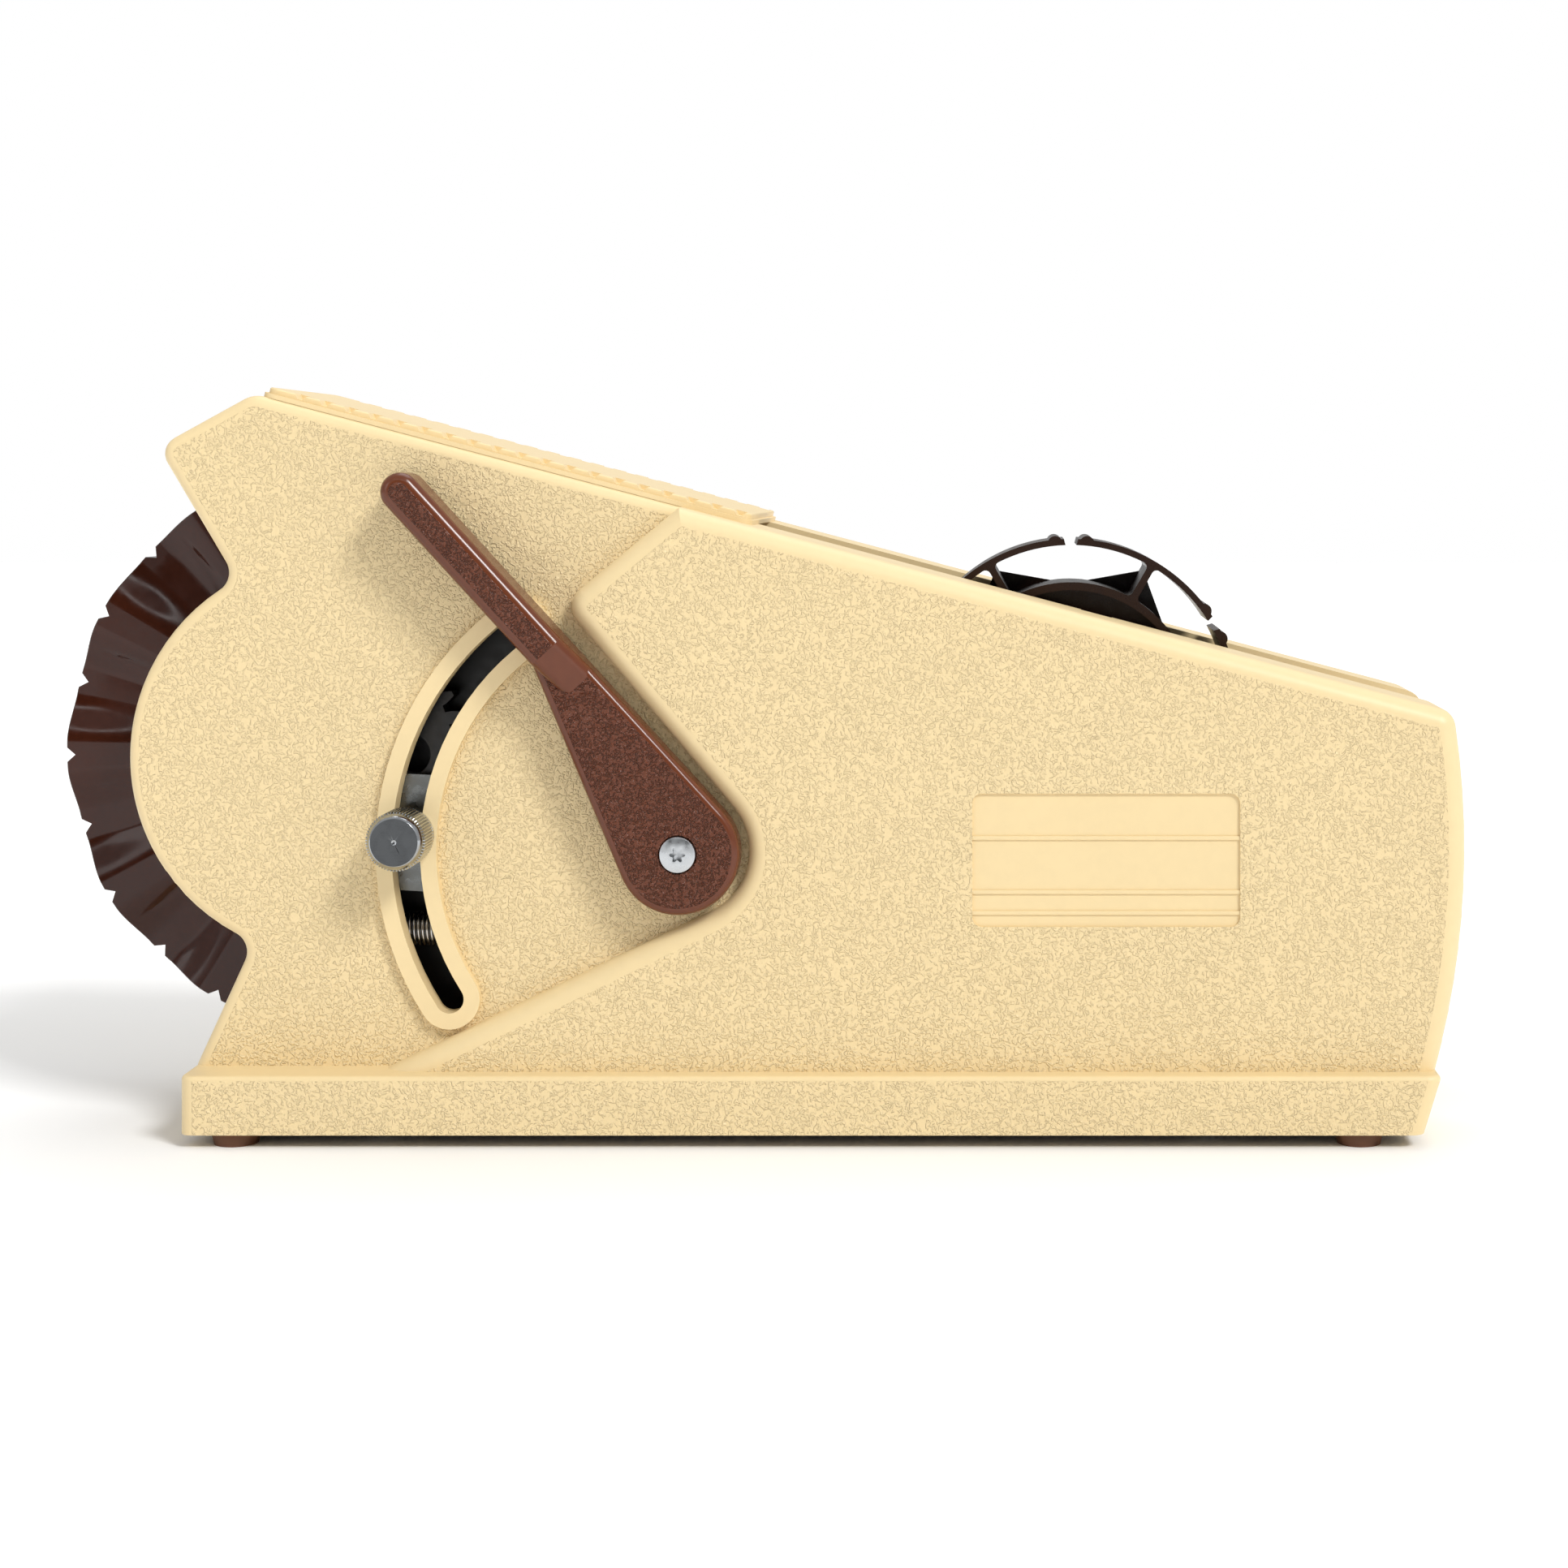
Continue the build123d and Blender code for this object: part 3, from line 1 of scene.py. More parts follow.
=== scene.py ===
"""Looks of a lever-operated desktop tape dispenser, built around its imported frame.

Every length is in millimetres until a mesh is finished, except in the studio, which is in
metres. +X points to the tape roll, -X to the feed wheel, -Y to the side with the lever and
+Z up, as in the frame.
"""

import json
import logging
import math
from collections.abc import Iterable
from dataclasses import dataclass
from enum import Enum

import bmesh
import bpy
from mathutils import Matrix, Vector


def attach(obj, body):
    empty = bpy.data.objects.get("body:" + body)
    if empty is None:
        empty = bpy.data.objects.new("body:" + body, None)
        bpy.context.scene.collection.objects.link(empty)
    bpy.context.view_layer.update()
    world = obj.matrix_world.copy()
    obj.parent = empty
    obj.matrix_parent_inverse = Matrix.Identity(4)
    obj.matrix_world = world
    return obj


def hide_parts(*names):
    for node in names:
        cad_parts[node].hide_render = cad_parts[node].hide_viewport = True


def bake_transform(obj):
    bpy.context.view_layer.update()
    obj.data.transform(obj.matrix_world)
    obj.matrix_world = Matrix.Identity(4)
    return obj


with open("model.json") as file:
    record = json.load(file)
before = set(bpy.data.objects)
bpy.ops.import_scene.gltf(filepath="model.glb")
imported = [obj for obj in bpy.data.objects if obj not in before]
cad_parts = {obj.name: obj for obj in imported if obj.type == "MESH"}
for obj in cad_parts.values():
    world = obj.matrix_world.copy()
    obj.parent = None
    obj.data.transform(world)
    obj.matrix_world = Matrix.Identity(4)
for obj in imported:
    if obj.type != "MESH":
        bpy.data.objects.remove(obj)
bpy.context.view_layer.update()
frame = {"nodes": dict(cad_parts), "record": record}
MM = 0.001
LOG = logging.getLogger("tape_dispenser")

Colour = tuple[float, float, float]
Point = tuple[float, float, float]
Section = list[tuple[float, float]]
WireRing = list[bmesh.types.BMVert | bmesh.types.BMEdge]

RANGE_SOCKETS = ("From Min", "From Max", "To Min", "To Max")
NOISE_SPAN = (0.3, 0.7)  # nearly all of a noise's values lie in here
FLAT_SPAN = (0.9955, 0.9995)  # how squarely a textured face looks along its direction
# The next span picks out the flat end faces of a turned part that get painted shade.
PAINTED_SHADE_SPAN = (0.965, 0.995)  # the same for the end face of a turned part
SLOW_SIZE, FINE_SIZE, RIPPLE_SIZE = 18.0, 2.2, 9.0  # sizes of a finish's changes
SAME_POINT = 1e-4  # vertices nearer than this are one
ON_RADIUS = 1e-3  # a vertex this near a radius lies on it


class Turning(Enum):
    """Axes that a turned piece may stand on, as unit vectors."""

    ACROSS = (0.0, -1.0, 0.0)
    BACK = (0.0, 1.0, 0.0)


class Grain(Enum):
    """Surface textures that a moulded plastic face may have, as (size in mm, depth in mm)."""

    FINE = (1.1, 0.95)
    LEATHER = (1.15, 0.21)


# ---------------------------------------------------------------- materials
class NodeSheet:
    """One material's node tree, with short calls for the nodes that the finishes share."""

    def __init__(self, name: str) -> None:
        """Makes an empty tree with a principled shader.

        Args:
            name: The material's name.
        """
        self.material = bpy.data.materials.new(name)
        self.material.use_nodes = True
        self.nodes = self.material.node_tree.nodes
        self.nodes.clear()
        self.shader = self.nodes.new("ShaderNodeBsdfPrincipled")
        output = self.nodes.new("ShaderNodeOutputMaterial")
        self.join(self.shader.outputs["BSDF"], output.inputs["Surface"])
        self.coords = self.nodes.new("ShaderNodeTexCoord")

    def join(self, source: bpy.types.NodeSocket, target: bpy.types.NodeSocket) -> None:
        """Links two sockets."""
        self.material.node_tree.links.new(source, target)

    def set(self, **values: object) -> None:
        """Sets uniform values on the shader's own sockets, named with _ for a space."""
        for name, value in values.items():
            self.shader.inputs[name.replace("_", " ")].default_value = value

    def noise(self, size: float, detail: float = 2.0, distortion: float = 0.0,
              stretch: Point = (1.0, 1.0, 1.0)) -> bpy.types.NodeSocket:
        """Noise on object coordinates.

        Args:
            size: Size of a feature, in mm.
            detail: Octaves of finer noise.
            distortion: How far the pattern is warped.
            stretch: Factors on the coordinates along X, Y and Z.

        Returns:
            The noise value's socket.
        """
        mapping = self.nodes.new("ShaderNodeMapping")
        mapping.inputs["Scale"].default_value = stretch
        self.join(self.coords.outputs["Object"], mapping.inputs["Vector"])
        noise = self.nodes.new("ShaderNodeTexNoise")
        noise.inputs["Scale"].default_value = 1.0 / (size * MM)
        noise.inputs["Detail"].default_value = detail
        noise.inputs["Distortion"].default_value = distortion
        self.join(mapping.outputs["Vector"], noise.inputs["Vector"])
        return noise.outputs["Fac"]

    def spread(self, source: bpy.types.NodeSocket, low: float, high: float,
               out_low: float = 0.0, out_high: float = 1.0) -> bpy.types.NodeSocket:
        """Maps a value smoothly from one range to another.

        Args:
            source: The value.
            low: Value that gives out_low.
            high: Value that gives out_high.
            out_low: First output.
            out_high: Last output.

        Returns:
            The mapped value's socket.
        """
        mapped = self.nodes.new("ShaderNodeMapRange")
        mapped.interpolation_type = "SMOOTHSTEP"
        for name, value in zip(RANGE_SOCKETS, (low, high, out_low, out_high)):
            mapped.inputs[name].default_value = value
        self.join(source, mapped.inputs["Value"])
        return mapped.outputs["Result"]

    def math(self, operation: str, first: bpy.types.NodeSocket,
             second: bpy.types.NodeSocket | float = 0.0) -> bpy.types.NodeSocket:
        """Joins two values by a math operation and returns the result's socket."""
        node = self.nodes.new("ShaderNodeMath")
        node.operation = operation
        self.join(first, node.inputs[0])
        if isinstance(second, bpy.types.NodeSocket):
            self.join(second, node.inputs[1])
        else:
            node.inputs[1].default_value = second
        return node.outputs["Value"]

    def blend(self, factor: bpy.types.NodeSocket, first: Colour,
              second: Colour) -> bpy.types.NodeSocket:
        """Blends two colours by a value that changes over the surface."""
        mix = self.nodes.new("ShaderNodeMix")
        mix.data_type = "RGBA"
        mix.inputs["A"].default_value = (*first, 1.0)
        mix.inputs["B"].default_value = (*second, 1.0)
        self.join(factor, mix.inputs["Factor"])
        return mix.outputs["Result"]

    def bump(self, height: bpy.types.NodeSocket, depth: float,
             under: bpy.types.NodeSocket | None = None) -> bpy.types.NodeSocket:
        """A bump of depth mm, on top of an earlier bump if one is given."""
        bump = self.nodes.new("ShaderNodeBump")
        bump.inputs["Distance"].default_value = depth * MM
        self.join(height, bump.inputs["Height"])
        if under is not None:
            self.join(under, bump.inputs["Normal"])
        return bump.outputs["Normal"]

    def axis_value(self, output: str, axis: int) -> bpy.types.NodeSocket:
        """One component of the object coordinates or the object normal."""
        split = self.nodes.new("ShaderNodeSeparateXYZ")
        self.join(self.coords.outputs[output], split.inputs["Vector"])
        return split.outputs[axis]

    def facing(self, direction: Point) -> bpy.types.NodeSocket:
        """How squarely the surface faces along a direction, either way round, from 0 to 1."""
        dot = self.nodes.new("ShaderNodeVectorMath")
        dot.operation = "DOT_PRODUCT"
        dot.inputs[1].default_value = direction
        self.join(self.coords.outputs["Normal"], dot.inputs[0])
        return self.math("ABSOLUTE", dot.outputs["Value"])


@dataclass(frozen=True)
class Finish:
    """A plain moulded surface with faint changes in tone and gloss.

    Attributes:
        name: The material's name.
        colour: Linear base colour.
        roughness: Mean roughness.
        tone_change: How far the colour changes over the surface.
        gloss_change: How far the roughness changes.
        specular: Specular level.
        ripple: Depth of a slow ripple, in mm.
    """

    name: str
    colour: Colour
    roughness: float
    tone_change: float = 0.05
    gloss_change: float = 0.04
    specular: float = 0.5
    ripple: float = 0.0

    def material(self) -> bpy.types.Material:
        """Returns this finish's material, made once."""
        made = bpy.data.materials.get(self.name + "_finish")
        if made is None:
            sheet = NodeSheet(self.name + "_finish")
            sheet.set(Specular_IOR_Level=self.specular)
            self.dress(sheet)
            made = sheet.material
        return made

    def tones(self, sheet: NodeSheet) -> None:
        """Adds the changes in tone and gloss."""
        slow = sheet.noise(SLOW_SIZE, 3.0)
        fine = sheet.noise(FINE_SIZE, 2.0)
        worn = sheet.math("MULTIPLY", sheet.math("ADD", slow, fine), 0.5)
        dark = tuple(c * (1.0 - self.tone_change) for c in self.colour)
        pale = tuple(min(1.0, c * (1.0 + self.tone_change)) for c in self.colour)
        tone = sheet.blend(sheet.spread(worn, *NOISE_SPAN), dark, pale)
        sheet.join(tone, sheet.shader.inputs["Base Color"])
        sheet.join(self.gloss(sheet, fine), sheet.shader.inputs["Roughness"])

    def gloss(self, sheet: NodeSheet, pattern: bpy.types.NodeSocket) -> bpy.types.NodeSocket:
        """The roughness, which a pattern moves about its mean."""
        low, high = self.roughness - self.gloss_change, self.roughness + self.gloss_change
        return sheet.spread(pattern, *NOISE_SPAN, low, high)

    def dress(self, sheet: NodeSheet) -> None:
        """Fills the node tree."""
        self.tones(sheet)
        if self.ripple:
            waves = sheet.bump(sheet.noise(RIPPLE_SIZE, 1.0), self.ripple)
            sheet.join(waves, sheet.shader.inputs["Normal"])


@dataclass(frozen=True)
class GrainedPlastic(Finish):
    """Moulded plastic with a worm-like grain on its flat faces and smooth, rounded edges.

    Attributes:
        grain: The texture and its size.
        flat_directions: Directions that the textured faces look along.
        smooth_layers: Ranges of distance from the mid plane, in mm, that stay smooth.
        edge_roughness: Roughness of the smooth edges.
        break_size: Size of the breaks between ridges, next to the grain's.
        pit_size: Size of the pits, next to the grain's.
        pit_share: Depth of the pits, next to the ridges'.
    """

    grain: Grain = Grain.LEATHER
    flat_directions: tuple[Point, ...] = ((0.0, 1.0, 0.0),)
    smooth_layers: tuple[tuple[float, float], ...] = ()
    edge_roughness: float = 0.4
    break_size: float = 0.7
    pit_size: float = 0.3
    pit_share: float = 0.3

    def dress(self, sheet: NodeSheet) -> None:
        """Adds tones, then the grain where the surface is flat."""
        self.tones(sheet)
        mask = sheet.spread(sheet.facing(self.flat_directions[0]), *FLAT_SPAN)
        for direction in self.flat_directions[1:]:
            flat = sheet.spread(sheet.facing(direction), *FLAT_SPAN)
            mask = sheet.math("MAXIMUM", mask, flat)
        across = sheet.math("ABSOLUTE", sheet.axis_value("Object", 1))
        for low, high in self.smooth_layers:
            above = sheet.math("LESS_THAN", across, low * MM)
            below = sheet.math("GREATER_THAN", across, high * MM)
            mask = sheet.math("MULTIPLY", mask, sheet.math("ADD", above, below))
        height, pits = self.texture(sheet)
        masked = sheet.math("MULTIPLY", height, mask)
        sheet.join(sheet.bump(masked, self.grain.value[1]), sheet.shader.inputs["Normal"])
        rough = sheet.nodes.new("ShaderNodeMix")
        rough.inputs["A"].default_value = self.edge_roughness
        sheet.join(mask, rough.inputs["Factor"])
        sheet.join(self.gloss(sheet, pits), rough.inputs["B"])
        sheet.join(rough.outputs["Result"], sheet.shader.inputs["Roughness"])

    def texture(self, sheet: NodeSheet) -> tuple[bpy.types.NodeSocket, bpy.types.NodeSocket]:
        """Short winding ridges, where a noise passes its middle value, among fine pits.

        Args:
            sheet: The material's tree.

        Returns:
            The height of the whole texture, and of the pits alone.
        """
        size = self.grain.value[0]
        middle = sheet.math("SUBTRACT", sheet.noise(size, 1.0, 0.7), 0.5)
        ridges = sheet.spread(sheet.math("ABSOLUTE", middle), 0.02, 0.12, 1.0, 0.0)
        breaks = sheet.spread(sheet.noise(size * self.break_size, 1.0), 0.38, 0.55)
        pits = sheet.noise(size * self.pit_size, 1.0, 0.4)
        short = sheet.math("MULTIPLY", ridges, breaks)
        return sheet.math("ADD", short, sheet.math("MULTIPLY", pits, self.pit_share)), pits


@dataclass(frozen=True)
class Metal(Finish):
    """Plated, ground or cast metal.

    Attributes:
        marks: Depth of its tool marks, in mm.
        stretch: Factors that draw the marks out along an axis.
        mark_size: Width of a mark, in mm.
        end_painted_shade: Painted shade: how bright the flat end faces are painted, next to the
            rest, for the dark surroundings that they reflect.
    """

    marks: float = 0.004
    stretch: Point = (1.0, 1.0, 1.0)
    mark_size: float = 0.5
    end_painted_shade: float = 1.0

    def dress(self, sheet: NodeSheet) -> None:
        """Adds tones, painted shade on the end faces where asked, then the tool marks."""
        self.tones(sheet)
        sheet.set(Metallic=1.0)
        # Painted shade: the flat end faces get a darker colour, standing in for the dark
        # surroundings that they reflect.
        if self.end_painted_shade < 1.0:
            self.paint_shade_on_ends(sheet)
        marks = sheet.noise(self.mark_size, 3.0, 0.2, self.stretch)
        sheet.join(sheet.bump(marks, self.marks), sheet.shader.inputs["Normal"])

    def paint_shade_on_ends(self, sheet: NodeSheet) -> None:
        """Paints shade on the faces that look across the object, by darkening their colour."""
        base = sheet.shader.inputs["Base Color"]
        mix = sheet.nodes.new("ShaderNodeMix")
        mix.data_type = "RGBA"
        sheet.join(base.links[0].from_socket, mix.inputs["A"])
        mix.inputs["B"].default_value = (*(c * self.end_painted_shade for c in self.colour), 1.0)
        # Mask of the end faces that get painted shade.
        painted_shade_mask = sheet.spread(sheet.facing((0.0, 1.0, 0.0)), *PAINTED_SHADE_SPAN)
        sheet.join(painted_shade_mask, mix.inputs["Factor"])
        sheet.join(mix.outputs["Result"], base)


TOP_SLOPE = math.radians(14.8)
TOP_NORMAL: Point = (math.sin(TOP_SLOPE), 0.0, math.cos(TOP_SLOPE))
BEIGE: Colour = (0.83, 0.655, 0.365)
FINISHES: dict[str, Finish] = {finish.name: finish for finish in (
    GrainedPlastic(
        "housing_plastic", BEIGE, 0.40, 0.015, 0.06, specular=0.5, grain=Grain.LEATHER,
        flat_directions=((0.0, 1.0, 0.0), (1.0, 0.0, 0.0), TOP_NORMAL),
        smooth_layers=((0.0, 32.6), (33.4, 38.8)), edge_roughness=0.42,
    ),
    GrainedPlastic(
        "lever_plastic", (0.128, 0.034, 0.013), 0.24, 0.06, 0.05, specular=0.42,
        grain=Grain.FINE, edge_roughness=0.2,
    ),
    Finish("bottom_plastic", (0.028, 0.014, 0.010), 0.5, 0.1, 0.06, ripple=0.02),
    Finish("foot_rubber", (0.12, 0.050, 0.024), 0.55, 0.12, 0.08, 0.35, ripple=0.03),
    Finish("bumper_rubber", (0.018, 0.016, 0.015), 0.7, 0.15, 0.08, 0.3, ripple=0.03),
    Finish("gear_plastic", (0.009, 0.008, 0.0075), 0.38, 0.15, 0.06, ripple=0.01),
    Finish("wheel_plastic", (0.038, 0.0078, 0.0024), 0.14, 0.08, 0.03, 0.36, ripple=0.02),
    Finish("core_plastic", (0.035, 0.012, 0.006), 0.4, 0.1, 0.05, ripple=0.01),
    Finish("hub_plastic", (0.020, 0.0080, 0.0040), 0.3, 0.1, 0.05, 0.22, ripple=0.02),
    Metal("ballast_iron", (0.09, 0.09, 0.095), 0.6, 0.2, 0.1, marks=0.12, mark_size=1.2),
    Metal("zinc_steel", (0.56, 0.58, 0.60), 0.3, 0.08, 0.08, marks=0.006, stretch=(1, 1, 0.12)),
    Metal("bright_steel", (0.58, 0.58, 0.59), 0.22, 0.05, 0.05, marks=0.003, stretch=(6, 0.3, 6)),
    Metal("blade_steel", (0.68, 0.69, 0.70), 0.24, 0.05, 0.05, marks=0.004, stretch=(8, 0.2, 1)),
    Metal("bush_bronze", (0.42, 0.24, 0.09), 0.38, 0.15, 0.1, marks=0.01),
    Metal("clutch_steel", (0.30, 0.31, 0.32), 0.32, 0.08, 0.06, marks=0.004),
    # Painted shade on the nut's flat end faces: they are painted darker than its knurl.
    Metal(
        "nut_nickel", (0.42, 0.44, 0.46), 0.16, 0.08, 0.06, marks=0.012, mark_size=0.7,
        stretch=(0.25, 1, 1.6), end_painted_shade=0.2,
    ),
)}

NODE_FINISHES: dict[str, Finish] = {
    # Painted shade: the stop plate sits in shade inside the slot, so its zinc is painted darker
    # than the other zinc parts.
    "stop_plate": Metal(
        "stop_zinc_painted_shade", (0.17, 0.175, 0.17), 0.3, 0.2, 0.1, marks=0.03, mark_size=0.9,
    ),
}


# ---------------------------------------------------------------- mesh work
class Piece:
    """A new piece that is shaped as a bmesh, in mm, and then finished in the frame's metres."""

    def __init__(self, name: str, body: str, slot: str, stands_for: Iterable[str] = ()) -> None:
        """Starts an empty piece.

        Args:
            name: The piece's name.
            body: Body that it moves with.
            slot: Material slot of the record, which is also its finish.
            stands_for: Frame nodes that it takes the place of.
        """
        self.name, self.body, self.slot = name, body, slot
        self.stands_for = tuple(stands_for)
        self.bm = bmesh.new()

    def turn(self, section: Section, centre: Point, steps: int, axis: Turning = Turning.ACROSS,
             closed: bool = False) -> list[bmesh.types.BMVert]:
        """Turns a section of (radius, distance along the axis) around an axis.

        Args:
            section: Points of the section.
            centre: Where the axis passes, with distances counted from here.
            steps: Steps round the full circle.
            axis: Direction of the axis.
            closed: Whether the section ends where it starts.

        Returns:
            The vertices of the turned shape.
        """
        direction = Vector(axis.value)
        out = Vector((1.0, 0.0, 0.0))
        before = set(self.bm.verts)
        verts = [self.bm.verts.new(Vector(centre) + out * r + direction * a) for r, a in section]
        runs = list(zip(verts, verts[1:] + verts[:1] if closed else verts[1:]))
        edges = [self.bm.edges.new(pair) for pair in runs]
        bmesh.ops.spin(
            self.bm, geom=verts + edges, cent=Vector(centre), axis=direction, angle=math.tau,
            steps=steps, use_merge=True, use_duplicate=False,
        )
        made = [v for v in self.bm.verts if v not in before]
        bmesh.ops.remove_doubles(self.bm, verts=made, dist=SAME_POINT)
        return [v for v in self.bm.verts if v not in before]

    def finish(self, sharp: float = 32.0, moves: bool = True) -> bpy.types.Object:
        """Turns the bmesh into an object that rides on its body.

        Args:
            sharp: Angle in degrees above which an edge stays sharp.
            moves: Whether the piece rides on its body; a blended piece doesn't.

        Returns:
            The finished object.
        """
        bmesh.ops.recalc_face_normals(self.bm, faces=self.bm.faces)
        bmesh.ops.scale(self.bm, vec=(MM, MM, MM), verts=self.bm.verts)
        mesh = bpy.data.meshes.new(self.name)
        self.bm.to_mesh(mesh)
        self.bm.free()
        mesh.shade_smooth()
        mesh.set_sharp_from_angle(angle=math.radians(sharp))
        made = bpy.data.objects.new(self.name, mesh)
        bpy.context.scene.collection.objects.link(made)
        mesh.materials.append(FINISHES[self.slot].material())
        if self.stands_for:
            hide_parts(*self.stands_for)
        if moves:
            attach(made, self.body)
        LOG.info("%s: %d faces on %s", self.name, len(mesh.polygons), self.body)
        return made


def polar(centre: tuple[float, float], radius: float, angle: float) -> tuple[float, float]:
    """Point at radius and angle in degrees around a centre, in the side view."""
    turned = math.radians(angle)
    return (centre[0] + radius * math.cos(turned), centre[1] + radius * math.sin(turned))


# ---------------------------------------------------------------- sub-assemblies
@dataclass
class FeedWheel:
    """The notched, pleated rim that the tape lies on.

    Attributes:
        centre: Axle's place in the side view.
        radius: Outer radius.
        core_radius: Radius where the rim meets its core.
        half_width: Half of the rim's width.
        notches: Notches round the rim.
        phase: Degrees from +X to the first notch.
        notch_depth: Depth of a notch.
        notch_half: Half of a notch's mouth, in degrees.
        pleat_depth: How far a pleat leans in at the rim.
        fold_depth: Depth of the wedge-shaped fold in the middle of every second pleat.
        fold_half: Half of the fold's width at the core, in degrees.
        fold_tip: Radius where the fold runs out.
        fold_run: Length over which the fold narrows to its tip.
        fold_least: Half width below which the fold is left out, in degrees.
        pleat_rise: How fast a pleat deepens outwards.
        pleat_ease: Power that rounds the deepening.
        pleat_skew: How far the pleats lean round the wheel.
        notch_band: Width of the band at the rim that a notch draws in.
        edge: Size of the rim's edge chamfer.
        rings: Radii of the flank's rings of vertices.
        tread_half: Columns of faces in half of the tread's width.
        stations: Degrees from a notch to each column of vertices in half a pitch.
    """

    centre: tuple[float, float] = (-91.8, 82.9)
    radius: float = 64.1
    core_radius: float = 36.0
    half_width: float = 13.0
    notches: int = 24
    phase: float = 1.3
    notch_depth: float = 1.9
    notch_half: float = 1.45
    pleat_depth: float = 3.6
    fold_depth: float = 0.42
    fold_half: float = 3.4
    fold_tip: float = 61.5
    fold_run: float = 16.0
    fold_least: float = 0.3
    pleat_rise: float = 1.25
    pleat_ease: float = 0.8
    pleat_skew: float = 0.12
    notch_band: float = 4.0
    edge: float = 0.35
    rings: tuple[float, ...] = (
        36.0, 39.0, 42.0, 45.0, 48.0, 51.0, 54.0, 57.0, 59.5, 61.2, 62.4, 63.3, 63.85,
    )
    tread_half: int = 6
    stations: tuple[float, ...] = (
        0.0, 0.45, 1.45, 1.75, 2.5, 3.3, 4.1, 4.7, 5.3, 5.9, 6.45, 7.0, 7.5,
    )

    def lean(self, angle: float, radius: float) -> float:
        """How far the flank lies in from the rim's full width.

        Args:
            angle: Degrees from the first notch.
            radius: Distance from the axle.

        Returns:
            The depth in mm, 0 or more.
        """
        pitch = 360.0 / self.notches
        share = max(0.0, (radius - self.core_radius) / (self.radius - self.core_radius))
        grow = min(1.0, share * self.pleat_rise) ** self.pleat_ease
        wave = 0.5 - 0.5 * math.cos(math.pi * angle / pitch)
        odd = int(angle // pitch) % 2
        skew = self.pleat_skew * math.sin(math.tau * angle / pitch)
        eased = wave + skew * (1 if odd else -1)
        place = (angle % pitch) - pitch / 2
        half = self.fold_half * max(0.0, min(1.0, (self.fold_tip - radius) / self.fold_run))
        fold = 0.0
        if half > self.fold_least and not odd and abs(place) < half:
            crease = 0.5 + 0.5 * math.cos(math.pi * place / half)
            fold = self.fold_depth * crease * min(1.0, half)
        return self.pleat_depth * grow * max(0.0, min(1.0, eased)) + fold

    def notch(self, angle: float) -> float:
        """How far the tread lies in at an angle in degrees from the first notch."""
        pitch = 360.0 / self.notches
        place = abs((angle + pitch / 2) % pitch - pitch / 2)
        return self.notch_depth * max(0.0, 1.0 - place / self.notch_half)

    def build(self) -> None:
        """Makes the rim."""
        piece = Piece("feed_wheel_rim", "wheel", "wheel_plastic", ["feed_wheel"])
        width = self.half_width
        near = [(r, width) for r in self.rings] + [(self.radius, width - self.edge)]
        across = range(self.tread_half - 1, -self.tread_half, -1)
        tread = [(self.radius, a * width / self.tread_half) for a in across]
        far = [(r, -a) for r, a in reversed(near)]
        half_pitch = len(self.stations) - 1
        columns = self.notches * half_pitch * 2
        centre = Vector((self.centre[0], 0.0, self.centre[1]))
        verts = piece.turn(near + tread + far, tuple(centre), columns, closed=True)
        for vert in verts:
            self.place(vert, centre, columns, half_pitch)
        piece.finish(sharp=28.0)

    def place(self, vert: bmesh.types.BMVert, centre: Vector, columns: int,
              half_pitch: int) -> None:
        """Moves one vertex from its even station to its place on the notches and pleats.

        Args:
            vert: The vertex.
            centre: The axle's place.
            columns: Columns of vertices round the wheel.
            half_pitch: Columns in half a pitch.
        """
        offset = vert.co - centre
        radius = math.hypot(offset.x, offset.z)
        turned = math.degrees(math.atan2(offset.z, offset.x)) % 360.0
        column = round(turned * columns / 360.0) % columns
        segment, step = divmod(column, 2 * half_pitch)
        pitch = 360.0 / self.notches
        if step <= half_pitch:
            within = self.stations[step]
        else:
            within = pitch - self.stations[2 * half_pitch - step]
        angle = segment * pitch + within
        share = max(0.0, (radius - (self.radius - self.notch_band)) / self.notch_band)
        radius -= self.notch(angle) * share
        pleat_angle = (angle + pitch) % 360.0 if offset.y > 0 else angle
        lean = self.lean(pleat_angle, radius)
        depth = offset.y * (1.0 - lean / self.half_width)
        x, z = polar(self.centre, radius, angle + self.phase)
        vert.co = Vector((x, depth, z))


